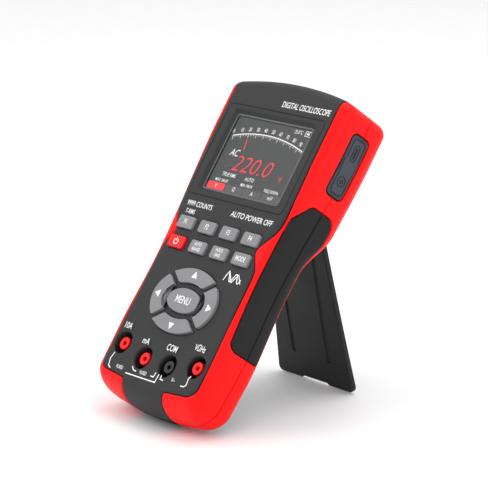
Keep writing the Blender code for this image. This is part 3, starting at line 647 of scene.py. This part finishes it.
def finish_of(name, colour, rough, grain, bump, mottle, specular=0.5, metallic=0.0, emission=None):
    """A moulded or plated finish: fine grain in the bump, slow changes in colour and roughness."""
    material = bpy.data.materials.new(name)
    material.use_nodes = True
    tree = material.node_tree
    shader = tree.nodes["Principled BSDF"]
    place = node_of(tree, "ShaderNodeTexCoord")
    fine = node_of(tree, "ShaderNodeTexNoise")
    fine.inputs["Scale"].default_value = grain
    fine.inputs["Detail"].default_value = 3.0
    slow = node_of(tree, "ShaderNodeTexNoise")
    slow.inputs["Scale"].default_value = 45.0
    slow.inputs["Detail"].default_value = 5.0
    for texture in (fine, slow):
        tree.links.new(place.outputs["Object"], texture.inputs["Vector"])
    relief = node_of(tree, "ShaderNodeBump")
    relief.inputs["Strength"].default_value = bump
    relief.inputs["Distance"].default_value = 0.0002
    tree.links.new(fine.outputs["Fac"], relief.inputs["Height"])
    tree.links.new(relief.outputs["Normal"], shader.inputs["Normal"])
    tint = node_of(tree, "ShaderNodeValToRGB")
    low = [c * (1 - mottle) for c in colour]
    high = [min(1.0, c * (1 + mottle)) for c in colour]
    tint.color_ramp.elements[0].position = 0.3
    tint.color_ramp.elements[1].position = 0.7
    tint.color_ramp.elements[0].color = (*low, 1)
    tint.color_ramp.elements[1].color = (*high, 1)
    tree.links.new(slow.outputs["Fac"], tint.inputs["Fac"])
    tree.links.new(tint.outputs["Color"], shader.inputs["Base Color"])
    gloss = node_of(tree, "ShaderNodeMapRange")
    gloss.inputs["From Min"].default_value = 0.25
    gloss.inputs["From Max"].default_value = 0.75
    gloss.inputs["To Min"].default_value = max(0.02, rough - 0.06)
    gloss.inputs["To Max"].default_value = min(1.0, rough + 0.06)
    tree.links.new(slow.outputs["Fac"], gloss.inputs["Value"])
    tree.links.new(gloss.outputs["Result"], shader.inputs["Roughness"])
    shader.inputs["Metallic"].default_value = metallic
    shader.inputs["Specular IOR Level"].default_value = specular
    if emission:
        shader.inputs["Emission Color"].default_value = (*emission, 1)
        shader.inputs["Emission Strength"].default_value = 1.0
    return material


PANEL_FINISH = finish_of("panel_plastic", (0.0215, 0.022, 0.0228), 0.55, 3200, 0.3, 0.1, 0.3)
RED_FINISH = finish_of("red_overmould", (0.88, 0.003, 0.0035), 0.45, 1800, 0.05, 0.04, 0.16)
GRIP_FINISH = finish_of("grip_rubber", (0.0095, 0.0098, 0.0098), 0.6, 2400, 0.35, 0.12, 0.22)
STAND_FINISH = finish_of("stand_plastic", (0.0075, 0.0075, 0.0075), 0.5, 2800, 0.2, 0.12, 0.3)
COVER_FINISH = finish_of("cover_rubber", (0.048, 0.057, 0.072), 0.62, 2000, 0.25, 0.1, 0.3)
# Darker than the cover, for its raised lines: painted shade standing in for the shadows along the embossing.
COVER_SHADE_LINE = finish_of("cover_painted_shade", (0.016, 0.019, 0.025), 0.6, 2000, 0.2, 0.1, 0.3)
# Lighter grey for a thin ring inside the window: a painted highlight where the lens edge catches the light.
LENS_EDGE_HIGHLIGHT = finish_of("lens_edge_highlight", (0.10, 0.105, 0.11), 0.35, 1200, 0.05, 0.06, 0.4)
KEY_FINISH = finish_of("key_plastic", (0.215, 0.215, 0.225), 0.45, 2200, 0.12, 0.05, 0.4)
POWER_FINISH = finish_of("power_key_plastic", (0.70, 0.008, 0.012), 0.42, 2200, 0.12, 0.05, 0.3)
# Black plastic for the chip, the buzzer and the common post; also used on the jack wells, which are case
# moulding darkened as painted shade for their depth.
BLACK_AND_WELL_SHADE_FINISH = finish_of("black_plastic_and_well_shade", (0.008, 0.008, 0.009), 0.4, 2200, 0.1, 0.1)
POST_FINISH = finish_of("red_jack_plastic", (0.80, 0.006, 0.006), 0.3, 1800, 0.04, 0.05, 0.3)
WHITE_INK = finish_of("white_ink", (0.92, 0.92, 0.92), 0.5, 3000, 0.05, 0.04)
SCREEN_FINISH = finish_of("screen_glass", (0.026, 0.028, 0.028), 0.4, 900, 0.01, 0.05)
SCREEN_WHITE = finish_of("screen_white", (0.3, 0.3, 0.3), 0.4, 900, 0.0, 0.05, 0.2,
                         emission=(0.62, 0.62, 0.62))
SCREEN_RED = finish_of("screen_red", (0.3, 0.02, 0.02), 0.4, 900, 0.0, 0.05, 0.2,
                       emission=(0.75, 0.03, 0.04))
SCREEN_GREY = finish_of("screen_grey", (0.06, 0.06, 0.06), 0.4, 900, 0.0, 0.1, 0.2,
                        emission=(0.04, 0.04, 0.04))
STEEL_FINISH = finish_of("plated_steel", (0.55, 0.55, 0.56), 0.3, 1500, 0.05, 0.08, metallic=1.0)
BRASS_FINISH = finish_of("plated_brass", (0.78, 0.58, 0.3), 0.28, 1500, 0.05, 0.08, metallic=1.0)
BOARD_FINISH = finish_of("solder_mask", (0.015, 0.12, 0.05), 0.4, 1800, 0.1, 0.25)
CELL_FINISH = finish_of("cell_sleeve", (0.06, 0.16, 0.45), 0.35, 900, 0.03, 0.1)
SILICONE_FINISH = finish_of("silicone_rubber", (0.3, 0.3, 0.31), 0.7, 1500, 0.1, 0.08)


def clear_finish():
    """The lens: a thin clear sheet with a faint gloss."""
    material = bpy.data.materials.new("clear_lens")
    material.use_nodes = True
    tree = material.node_tree
    tree.nodes.remove(tree.nodes["Principled BSDF"])
    clear = node_of(tree, "ShaderNodeBsdfTransparent")
    gloss = node_of(tree, "ShaderNodeBsdfGlossy")
    gloss.inputs["Roughness"].default_value = 0.08
    place = node_of(tree, "ShaderNodeTexCoord")
    smear = node_of(tree, "ShaderNodeTexNoise")
    smear.inputs["Scale"].default_value = 60.0
    tree.links.new(place.outputs["Object"], smear.inputs["Vector"])
    amount = node_of(tree, "ShaderNodeMapRange")
    amount.inputs["To Min"].default_value = 0.008
    amount.inputs["To Max"].default_value = 0.014
    tree.links.new(smear.outputs["Fac"], amount.inputs["Value"])
    mix = node_of(tree, "ShaderNodeMixShader")
    tree.links.new(amount.outputs["Result"], mix.inputs["Fac"])
    tree.links.new(clear.outputs["BSDF"], mix.inputs[1])
    tree.links.new(gloss.outputs["BSDF"], mix.inputs[2])
    tree.links.new(mix.outputs["Shader"], tree.nodes["Material Output"].inputs["Surface"])
    return material


# ---------------------------------------------------------------- simple forms


def outward(obj, merge=False, flat_caps=False):
    """Turns the mesh's faces outwards; may join equal points, and may leave its many-sided caps flat."""
    bm = bmesh.new()
    bm.from_mesh(obj.data)
    if merge:
        bmesh.ops.remove_doubles(bm, verts=bm.verts, dist=1e-7)
    bmesh.ops.recalc_face_normals(bm, faces=bm.faces)
    if flat_caps:
        for face in bm.faces:
            face.smooth = len(face.verts) < 5
    bm.to_mesh(obj.data)
    bm.free()


def bridged(rings, count, closed=False):
    """Quads between each ring of points and the next, and from the last back to the first if closed."""
    faces = []
    for k in range(rings if closed else rings - 1):
        first, second = k * count, (k + 1) % rings * count
        for i in range(count):
            j = (i + 1) % count
            faces.append([first + i, first + j, second + j, second + i])
    return faces


def weigh_normals(obj):
    """Lets the large flat faces set the shading at their edges."""
    flat = obj.modifiers.new("flat_faces", "WEIGHTED_NORMAL")
    flat.keep_sharp = True
    flat.weight = 100


def stack_mesh(name, levels, material, centre=(0, 0), sharp=SMOOTH_BELOW):
    """A closed form through outlines of equal count: (outline, w) from the top down."""
    points = [(x + centre[0], y + centre[1], w) for outline, w in levels for x, y in outline]
    count = len(levels[0][0])
    faces = bridged(len(levels), count)
    faces.append(list(range(count)))
    faces.append([len(points) - 1 - i for i in range(count)])
    obj = make_mesh(name, points, faces, material, sharp)
    outward(obj, flat_caps=True)
    weigh_normals(obj)
    return obj


def turned_mesh(name, profile, material, centre, steps=64):
    """A turned form about w; profile is (radius, w) from the inside of the top outwards and down."""
    points = []
    for radius, w in profile:
        points += [(centre[0] + x, centre[1] + y, w) for x, y in ellipse(radius, radius, steps)]
    obj = make_mesh(name, points, bridged(len(profile), steps), material)
    outward(obj, merge=True)
    return obj


def keycap(name, centre, outline, material):
    """A keycap with a softly rolled rim and a flange under the face."""
    pad = name in ("cap_right", "cap_up", "cap_left", "cap_down")
    radius = PAD_RIM if pad else KEY_RIM
    levels = [] if pad else [(grown(outline, -KEY_FLAT), KEY_PROUD)]
    for k in range(6):
        a = pi / 2 * k / 5
        levels.append((grown(outline, -radius * (1 - sin(a))), KEY_PROUD - radius * (1 - cos(a))))
    flange = grown(outline, KEY_FLANGE)
    levels += [(outline, KEY_SKIRT), (flange, KEY_SKIRT - 0.02), (flange, KEY_FLOOR)]
    return stack_mesh(name, levels, material, centre)


def flat_bar(points, width):
    """The left and right sides of a ribbon of constant width along a line of (x, y) points."""
    left, right = [], []
    for i, point in enumerate(points):
        here = Vector(point)
        before = here - Vector(points[i - 1]) if i else Vector(points[1]) - here
        after = Vector(points[i + 1]) - here if i < len(points) - 1 else before
        along = (before.normalized() + after.normalized()).normalized()
        across = Vector((-along.y, along.x)) * (width / 2 / max(along.dot(after.normalized()), 0.5))
        left.append(tuple(here + across))
        right.append(tuple(here - across))
    return left, right


class Ink:
    """Flat printed marks collected into one thin mesh."""

    def __init__(self, w, thick=0.03):
        self.points, self.faces, self.w, self.thick = [], [], w, thick

    def ribbon(self, points, width):
        left, right = flat_bar(points, width)
        base = len(self.points)
        n = len(left)
        for w in (self.w, self.w - self.thick):
            self.points += [(x, y, w) for x, y in left] + [(x, y, w) for x, y in right]
        for i in range(n - 1):
            self.faces.append([base + i, base + n + i, base + n + i + 1, base + i + 1])
            under = base + 2 * n + i
            self.faces.append([under, under + 1, under + n + 1, under + n])

    def shape(self, outline):
        base = len(self.points)
        n = len(outline)
        if area(outline) < 0:
            outline = outline[::-1]
        self.points += [(x, y, self.w) for x, y in outline]
        self.points += [(x, y, self.w - self.thick) for x, y in outline]
        self.faces.append([base + i for i in range(n)])
        for i in range(n):
            j = (i + 1) % n
            self.faces.append([base + i, base + n + i, base + n + j, base + j])

    def text(self, words, centre, size, width, slant=0.0, turn=0.0, weight=0.0):
        curve = bpy.data.curves.new("letters", "FONT")
        curve.body = words
        curve.size = 1.0
        curve.align_x = "CENTER"
        curve.align_y = "CENTER"
        curve.shear = slant
        curve.resolution_u = 4
        curve.offset = 0.004 + weight
        obj = bpy.data.objects.new("letters", curve)
        bpy.context.scene.collection.objects.link(obj)
        bpy.context.view_layer.update()
        mesh = obj.evaluated_get(bpy.context.evaluated_depsgraph_get()).to_mesh()
        base = len(self.points)
        for vertex in mesh.vertices:
            x, y = vertex.co.x * size * width, vertex.co.y * size
            x, y = x * cos(turn) - y * sin(turn), x * sin(turn) + y * cos(turn)
            self.points.append((centre[0] + x, centre[1] + y, self.w))
        self.faces += [[base + i for i in polygon.vertices] for polygon in mesh.polygons]
        bpy.data.objects.remove(obj)
        bpy.data.curves.remove(curve)

    def build(self, name, material, body="meter"):
        obj = make_mesh(name, self.points, self.faces, material, 30)
        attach(obj, body)
        return obj


# ---------------------------------------------------------------- the skin's pieces

SKIN_DATA = skin_pieces()
SKIN_TABLE = (
    ("front_panel", "front_case", PANEL_FINISH, "case"),
    ("bumper_front_left", "front_bumper_left", RED_FINISH, "overmould"),
    ("bumper_front_right", "front_bumper_right", RED_FINISH, "overmould"),
    ("bumper_rear_left", "rear_bumper_left", RED_FINISH, "overmould"),
    ("bumper_rear_right", "rear_bumper_right", RED_FINISH, "overmould"),
    ("grip_front_left", "front_grip_left", GRIP_FINISH, "grip"),
    ("grip_front_right", "front_grip_right", GRIP_FINISH, "grip"),
    ("grip_rear_left", "rear_grip_left", GRIP_FINISH, "grip"),
    ("grip_rear_right", "rear_grip_right", GRIP_FINISH, "grip"),
    ("battery_lid", "battery_door", PANEL_FINISH, "case"),
    ("rear_shell", "rear_case", PANEL_FINISH, "case"),
)
for region, node, material, slot in SKIN_TABLE:
    piece = region_mesh(region, SKIN_DATA, material)
    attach(piece, "meter")
    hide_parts(node)

flap = region_mesh("port_flap", SKIN_DATA, COVER_FINISH, 1.3)
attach(flap, "port_cover")
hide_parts("port_cover")


def flap_marks():
    """Raised lines on the port cover: a frame, a slot over one socket, a ring over the other, a nail lip;
    coloured darker than the cover as painted shade.
    """
    back = PLACE.inverted()
    verts = [back @ v.co for v in flap.data.vertices]
    tree = BVHTree.FromPolygons(verts, [p.vertices[:] for p in flap.data.polygons])
    v_mid, w_mid = sum(COVER_V) / 2, sum(COVER_W) / 2
    size = (COVER_V[1] - COVER_V[0], COVER_W[1] - COVER_W[0])
    frame_line = rounded_rectangle(size[0] - 4.2, size[1] - 4.2, 2.2)
    slot_line = [(x + 7.6, y) for x, y in rounded_rectangle(8.6, 3.4, 1.6)]
    core_line = [(x + 7.6, y) for x, y in rounded_rectangle(5.6, 0.7, 0.3)]
    ring_line = [(-7.8 + 2.6 * cos(pi * k / 12), 2.6 * sin(pi * k / 12)) for k in range(24)]
    dot_line = [(-7.8 + 0.9 * cos(pi * k / 6), 0.9 * sin(pi * k / 6)) for k in range(12)]
    nail_line = [(-3.2 + 0.4 * k, size[1] / 2 - 1.0) for k in range(17)]
    verts, quads = [], []
    for line, closed in ((frame_line, 1), (slot_line, 1), (core_line, 1), (ring_line, 1), (dot_line, 1),
                         (nail_line, 0)):
        line = line + [line[0]] if closed else line
        left, right = flat_bar(line, 0.42)
        base = len(verts)
        for outline, lift in ((left, -0.3), (left, 0.2), (right, 0.2), (right, -0.3)):
            for x, y in outline:
                spot = tree.ray_cast(Vector((80, v_mid + x, w_mid + y)), Vector((-1, 0, 0)))[0]
                verts.append((spot.x + lift, v_mid + x, w_mid + y))
        n = len(line)
        for row in range(3):
            for i in range(n - 1):
                a = base + row * n + i
                quads.append([a, a + 1, a + n + 1, a + n])
    # The raised lines are coloured darker than the cover: painted shade.
    obj = make_mesh("port_flap_marks", verts, quads, COVER_SHADE_LINE, 35)
    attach(obj, "port_cover")


flap_marks()


def pocket_piece():
    """The floor of the pocket that the folded stand lies in."""
    used, faces = region_faces(SKIN_DATA, "pocket")
    verts = SKIN_DATA[0][used].copy()
    verts[:, 2] = np.maximum(verts[:, 2], pocket_floor(verts[:, 1]))
    obj = make_mesh("stand_pocket", verts, faces, PANEL_FINISH)
    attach(obj, "meter")


pocket_piece()


def port_recess():
    """The floor under the port cover, with the opening to both sockets."""
    centre = (sum(PORT_V) / 2, sum(PORT_W) / 2)
    size = (PORT_V[1] - PORT_V[0], PORT_W[1] - PORT_W[0])
    outer = rounded_rectangle(COVER_V[1] - COVER_V[0] + 1, COVER_W[1] - COVER_W[0] + 1, COVER_RADIUS + 0.5)
    inner = rounded_rectangle(size[0], size[1], 1.6)
    levels = [(outer, (sum(COVER_V) / 2, sum(COVER_W) / 2), SKIN + 0.3), (inner, centre, SKIN + 0.3),
              (inner, centre, 4.6)]
    verts = []
    for outline, middle, depth in levels:
        for x, y in outline:
            v = x + middle[0]
            verts.append((float(body_half_width(v)) - depth, v, y + middle[1]))
    obj = make_mesh("port_recess", verts, bridged(len(levels), len(outer)), PANEL_FINISH)
    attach(obj, "meter")


port_recess()

# ---------------------------------------------------------------- keys and jacks

for name, centre, outline in KEYS:
    power = name == "key_power"
    cap = keycap(name.replace("key_", "cap_"), centre, outline, POWER_FINISH if power else KEY_FINISH)
    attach(cap, name)
    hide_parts(name)

for name, u, v in JACKS:
    black = name == "com"
    profile = [(WELL_RADIUS + 0.02, -0.7), (WELL_RADIUS, -1.2), (WELL_RADIUS - 0.15, WELL_FLOOR + 0.4),
               (WELL_RADIUS - 0.6, WELL_FLOOR), (3.0, WELL_FLOOR)]
    # The wells are part of the case; their near-black colour is painted shade for the depth of the hole.
    well = turned_mesh(f"well_{name}", profile, BLACK_AND_WELL_SHADE_FINISH, (u, v))
    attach(well, "meter")
    profile = [(1.2, -3.2), (1.2, -1.3), (1.4, -1.08), (1.7, POST_TOP)]
    profile += arc((POST_RADIUS - POST_LIP, POST_TOP - POST_LIP), POST_LIP, 90, 0, 5)
    profile += [(3.35, -6.0), (4.6, -6.1), (4.6, -7.0), (2.8, -7.0)]
    post = turned_mesh(f"post_{name}", profile, BLACK_AND_WELL_SHADE_FINISH if black else POST_FINISH, (u, v))
    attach(post, "meter")
    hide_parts(f"jack_post_{name}")

# ---------------------------------------------------------------- display

lens_outline = rounded_rectangle(*LENS_SIZE, 2.0)
levels = [(grown(lens_outline, -0.15), LENS_TOP)]
levels += [(lens_outline, LENS_TOP - drop) for drop in (0.1, 0.3)]
lens = stack_mesh("lens", levels, clear_finish(), (0, DISPLAY_V), 20)
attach(lens, "meter")
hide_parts("display_lens")
module_outline = rounded_rectangle(*SCREEN_SIZE, 0.8)
levels = [(grown(module_outline, -0.3), SCREEN_TOP)]
levels += [(module_outline, w) for w in (SCREEN_TOP - 0.25, SCREEN_FLOOR)]
module = stack_mesh("display_panel", levels, SCREEN_FINISH, (0, DISPLAY_V), 20)
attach(module, "meter")
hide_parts("display_module")
# A lighter ring just inside the window opening, at the lens: painted highlight of the lens edge catching the
# light.
highlight_size = [side - 2 * WINDOW_BEVEL - 1.0 for side in WINDOW_SIZE]
highlight_line = [(x, y + DISPLAY_V) for x, y in rounded_rectangle(*highlight_size, 1.0)]
edge = Ink(-WINDOW_DEPTH - 0.05, 0.1)
edge.ribbon(highlight_line + [highlight_line[0]], 0.9)
edge.build("lens_edge_highlight", LENS_EDGE_HIGHLIGHT)

# ---------------------------------------------------------------- stand


def stand_outline():
    """The plate's outline seen square on: flared sides, rounded feet and a shallow notch between them."""
    steps = 16
    right = [(STAND_TOP_HALF, STAND_TOP)]
    for k in range(1, steps + 1):
        t = k / steps
        right.append((STAND_TOP_HALF + STAND_FLARE * (0.75 * t + 0.25 * t * t),
                      STAND_TOP - t * (STAND_LENGTH + STAND_TOP - FOOT_RADIUS)))
    right += arc((25.5, FOOT_RADIUS - STAND_LENGTH), FOOT_RADIUS, -12, -90, 8)
    right += [(10.5, -STAND_LENGTH), (9.0, 1.0 - STAND_LENGTH)]
    return mirrored(right)


def stand_mesh():
    """The stand plate with its long grooves, and its knuckle, turned open about the pin."""
    outline = stand_outline()
    levels = []
    for k in range(5):
        a = pi / 2 * k / 4
        inset, drop = STAND_ROLL * (1 - sin(a)), STAND_ROLL * (1 - cos(a))
        levels.append((grown(outline, -inset), STAND_THICK / 2 - drop))
    levels += [(o, -w) for o, w in levels[::-1]]
    plate = stack_mesh("stand_plate", levels, STAND_FINISH)
    wide, narrow = rounded_rectangle(3.6, 74.6, 1.75), rounded_rectangle(2.6, 73.6, 1.25)
    tool = stack_mesh("tool", [(wide, 3.0), (wide, 1.5), (narrow, 0.9)], STAND_FINISH)
    back = PLACE.inverted()
    for u in (-GROOVE_U, GROOVE_U):
        cutter = tool.copy()
        cutter.data = tool.data.copy()
        cutter.data.transform(PLACE @ Matrix.Translation((u, GROOVE_MIDDLE, 0)) @ back)
        bpy.context.scene.collection.objects.link(cutter)
        modifier = plate.modifiers.new("groove", "BOOLEAN")
        modifier.operation = "DIFFERENCE"
        modifier.solver = "EXACT"
        modifier.object = cutter
    bpy.context.view_layer.update()
    mesh = bpy.data.meshes.new_from_object(plate.evaluated_get(bpy.context.evaluated_depsgraph_get()))
    for obj in [m.object for m in plate.modifiers if m.type == "BOOLEAN"] + [tool]:
        bpy.data.objects.remove(obj, do_unlink=True)
    plate.modifiers.clear()
    plate.data = mesh
    turn = Matrix.Translation(HINGE) @ Matrix.Rotation(STAND_OPEN, 4, "X")
    plate.data.transform(PLACE @ turn @ back)
    plate.data.set_sharp_from_angle(angle=radians(25))
    weigh_normals(plate)

    right = [(1.5, STAND_TOP_HALF), (2.3, STAND_TOP_HALF), (2.6, STAND_TOP_HALF - 0.2),
             (KNUCKLE_RADIUS, STAND_TOP_HALF - 0.5)]
    profile = right + [(radius, -u) for radius, u in right[::-1]]
    around = 40
    points = [(u, x, y) for radius, u in profile for x, y in ellipse(radius, radius, around)]
    knuckle = make_mesh("stand_knuckle", points, bridged(len(profile), around, closed=True), STAND_FINISH)
    knuckle.data.transform(PLACE @ Matrix.Translation(HINGE) @ back)
    for obj in (plate, knuckle):
        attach(obj, "stand")
    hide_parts("stand")


stand_mesh()

# ---------------------------------------------------------------- legends

face_ink = Ink(0.02)
face_ink.text("DIGITAL OSCILLOSCOPE", (18.4, 166.0), 4.6, 0.69)
face_ink.text("9999 COUNTS", (-22.2, 105.2), 3.9, 0.78)
face_ink.text("T-RMS", (-26.8, 100.8), 3.7, 0.7)
face_ink.text("AUTO POWER OFF", (17.7, 105.0), 4.2, 0.85)
wave = [(18.9 + 11.4 * k / 48, 74.2 + 2.2 * sin(k / 48 * 4 * pi)) for k in range(49)]
face_ink.ribbon(wave, 0.55)
face_ink.ribbon([(18.4, 72.0), (20.3, 77.2), (24.6, 71.8), (27.4, 76.4), (30.9, 72.2)], 0.5)
face_ink.build("face_legends", WHITE_INK)

jack_ink = Ink(0.86)
jack_ink.text("10A", (-29.6, 35.9), 4.6, 0.8)
jack_ink.text("mA", (-12.0, 31.4), 4.8, 0.75)
jack_ink.text("COM", (8.0, 32.0), 4.8, 0.72)
jack_ink.text("VΩHz", (26.6, 36.3), 4.6, 0.68)
jack_ink.text("FUSED", (-21.6, 14.9), 2.6, 0.7)
jack_ink.text("FUSED", (-3.6, 15.9), 2.6, 0.7)
jack_ink.text("V~", (18.9, 17.6), 3.0, 0.8)
for line in (((-29.9, 21.1), (-31.0, 17.6), (-30.0, 13.9), (-27.9, 13.0)),
             ((-15.8, 13.2), (7.2, 13.6), (7.6, 18.0)),
             ((-13.0, 17.5), (-11.3, 15.9), (-8.9, 15.6)), ((2.4, 15.9), (4.7, 15.9), (5.0, 18.4)),
             ((9.7, 18.0), (9.8, 16.0), (12.2, 15.9)),
             ((29.3, 22.4), (28.4, 20.9), (28.8, 17.5), (27.6, 16.4), (25.2, 16.2))):
    jack_ink.ribbon(list(line), 0.55)
jack_ink.build("jack_legends", WHITE_INK)

key_words = {"key_f1": [("F1", 0, 3.8)], "key_f2": [("F2", 0, 3.8)], "key_f3": [("F3", 0, 3.8)],
             "key_f4": [("F4", 0, 3.8)], "key_range": [("AUTO", 1.3, 2.6), ("RANGE", -1.4, 2.6)],
             "key_hold": [("HOLD", 1.3, 2.6), ("SAVE", -1.4, 2.6)], "key_mode": [("MODE", 0, 3.6)],
             "key_menu": [("MENU", 0, 5.6)]}
pad_marks = {"key_right": (19.4, 0.0, 0.0), "key_up": (0.0, 13.4, 90.0), "key_left": (-19.4, 0.0, 180.0),
             "key_down": (0.0, -13.4, 270.0)}
for name, (u, v), outline in KEYS:
    ink = Ink(KEY_PROUD + 0.02)
    for words, shift, size in key_words.get(name, []):
        ink.text(words, (u, v + shift), size, 0.72)
    if name == "key_power":
        ink.ribbon([(u + 1.5 * sin(a), v + 1.5 * cos(a)) for a in
                    [radians(40 + 280 * k / 24) for k in range(25)]], 0.45)
        ink.ribbon([(u, v + 0.3), (u, v + 2.0)], 0.45)
    if name in pad_marks:
        x, y, turn = pad_marks[name]
        tip = [(2.3 * cos(radians(turn + k * 120)), 2.3 * sin(radians(turn + k * 120))) for k in range(3)]
        ink.shape(softened([(u + x + a, v + y + b) for a, b in tip], 0.25))
    ink.build(name.replace("key_", "legend_"), WHITE_INK, name)

# ---------------------------------------------------------------- screen graphics

TAB_V = 117.8
DIAL_CENTRE = (-0.7, 57.9)
DIAL_RADIUS = 91.2
DIAL_START = 105.9
DIAL_STEP = 3.45
white = Ink(SCREEN_INK)
red = Ink(SCREEN_INK)
grey = Ink(SCREEN_INK - 0.01)


def on_dial(radius, degree):
    return (DIAL_CENTRE[0] + radius * cos(radians(degree)), DIAL_CENTRE[1] + radius * sin(radians(degree)))


for k in range(31):
    degree = DIAL_START - DIAL_STEP * k / 3
    length = 2.2 if k % 3 == 0 else 1.2
    white.ribbon([on_dial(r, degree) for r in (DIAL_RADIUS - length, DIAL_RADIUS)], 0.28)
for k in range(11):
    degree = DIAL_START - DIAL_STEP * k
    white.text(str(10 * k), on_dial(DIAL_RADIUS + 2.4, degree), 3.1, 0.7, turn=radians(degree - 90))
white.ribbon([on_dial(DIAL_RADIUS, DIAL_START - 0.5 * k) for k in range(70)], 0.5)
white.text("AC", (-18.5, 136.6), 5.4, 0.85, slant=0.2)
white.text("TRUE RMS", (-14.9, 124.7), 2.9, 0.78)
white.text("AUTO", (0.9, 124.6), 2.9, 0.84)
white.text("MAX 240.0V", (-18.2, 121.2), 2.4, 0.78)
white.text("MIN 198.0V", (0.9, 121.2), 2.4, 0.78)
white.text("FREQ 50.00Hz", (19.4, 121.2), 2.4, 0.74)
white.text("25.0°C", (18.6, 154.2), 2.8, 0.76)
red.text("220.0", (-2.0, 131.3), 12.6, 1.03, slant=0.22, weight=-0.02)
red.text("V", (21.3, 128.2), 4.2, 0.8)
red.ribbon([on_dial(r, DIAL_START - 2.05 * DIAL_STEP) for r in (82.5, 88.0)], 0.6)
tab_centres = (-20.4, -6.7, 7.0, 20.7)
for k, u in enumerate(tab_centres):
    tab = [(x + u, y + TAB_V) for x, y in rounded_rectangle(12.9, 3.8, 0.9)]
    (red if k == 0 else grey).shape(tab)
labels = Ink(SCREEN_INK + 0.05)
for words, u in zip(("V", "Ω", "A", "mV"), tab_centres):
    labels.text(words, (u, TAB_V), 3.1, 0.9)
white.ribbon([(23.6, 152.9), (23.6, 155.5), (27.4, 155.5), (27.4, 152.9), (23.6, 152.9)], 0.3)
white.ribbon([(24.5, 154.2), (26.5, 154.2)], 1.0)
white.build("screen_marks", SCREEN_WHITE)
red.build("screen_reading", SCREEN_RED)
grey.build("screen_tabs", SCREEN_GREY)
labels.build("screen_tab_words", SCREEN_WHITE)

# ---------------------------------------------------------------- carried-over nodes

CARRIED = {
    "main_board": BOARD_FINISH, "port_board": BOARD_FINISH, "processor_chip": BLACK_AND_WELL_SHADE_FINISH,
    "buzzer": BLACK_AND_WELL_SHADE_FINISH, "keypad_membrane": SILICONE_FINISH, "battery_cell": CELL_FINISH,
}
for name, obj in NODES.items():
    if name.startswith(("jack_socket", "probe", "battery_contact", "fuse_clip")):
        material = BRASS_FINISH
    else:
        material = CARRIED.get(name, STEEL_FINISH)
    obj.data.materials.clear()
    obj.data.materials.append(material)

# ---------------------------------------------------------------- light and camera

FLOOR_HALF = 3.0
FLOOR_LEVEL = -0.0006
floor_mesh = bpy.data.meshes.new("floor")
floor_mesh.from_pydata([(x * FLOOR_HALF, y * FLOOR_HALF, FLOOR_LEVEL)
                        for x, y in ((-1, -1), (1, -1), (1, 1), (-1, 1))], [], [[0, 1, 2, 3]])
floor_mesh.materials.append(finish_of("floor_paint", (0.86, 0.86, 0.87), 0.6, 300, 0.01, 0.01))
floor = bpy.data.objects.new("floor", floor_mesh)
bpy.context.scene.collection.objects.link(floor)


def area_light(name, position, target, size, power):
    data = bpy.data.lights.new(name, "AREA")
    data.shape = "RECTANGLE"
    data.size, data.size_y = size
    data.energy = power
    obj = bpy.data.objects.new(name, data)
    obj.location = position
    obj.rotation_mode = "QUATERNION"
    obj.rotation_quaternion = (Vector(target) - Vector(position)).to_track_quat("-Z", "Y")
    bpy.context.scene.collection.objects.link(obj)


area_light("key_light", (-0.5, -0.7, 1.1), (0, 0, 0.08), (0.9, 0.9), 4.0)
area_light("side_light", (1.2, 0.1, 0.7), (0, 0, 0.08), (0.8, 0.8), 3.0)
area_light("top_light", (0.1, 0.3, 1.4), (0, 0, 0.05), (1.0, 1.0), 6.0)

world = bpy.data.worlds.new("studio")
world.use_nodes = True
world.node_tree.nodes["Background"].inputs["Color"].default_value = (1, 1, 1, 1)
world.node_tree.nodes["Background"].inputs["Strength"].default_value = 1.0
bpy.context.scene.world = world
bpy.context.scene.view_settings.view_transform = "Standard"

CAMERA_PLACE = (810.97, -81.11, 691.6)
CAMERA_TURN = (76.5301, -0.0518, 49.7833)
CAMERA_LENS = 162.295082
camera_data = bpy.data.cameras.new("camera")
camera_data.sensor_width = 36.0
camera_data.lens = CAMERA_LENS
camera_data.clip_start, camera_data.clip_end = 0.01, 20.0
camera = bpy.data.objects.new("camera", camera_data)
camera.location = PLACE @ Vector(CAMERA_PLACE)
camera.rotation_euler = [radians(angle) for angle in CAMERA_TURN]
bpy.context.scene.collection.objects.link(camera)
bpy.context.scene.camera = camera
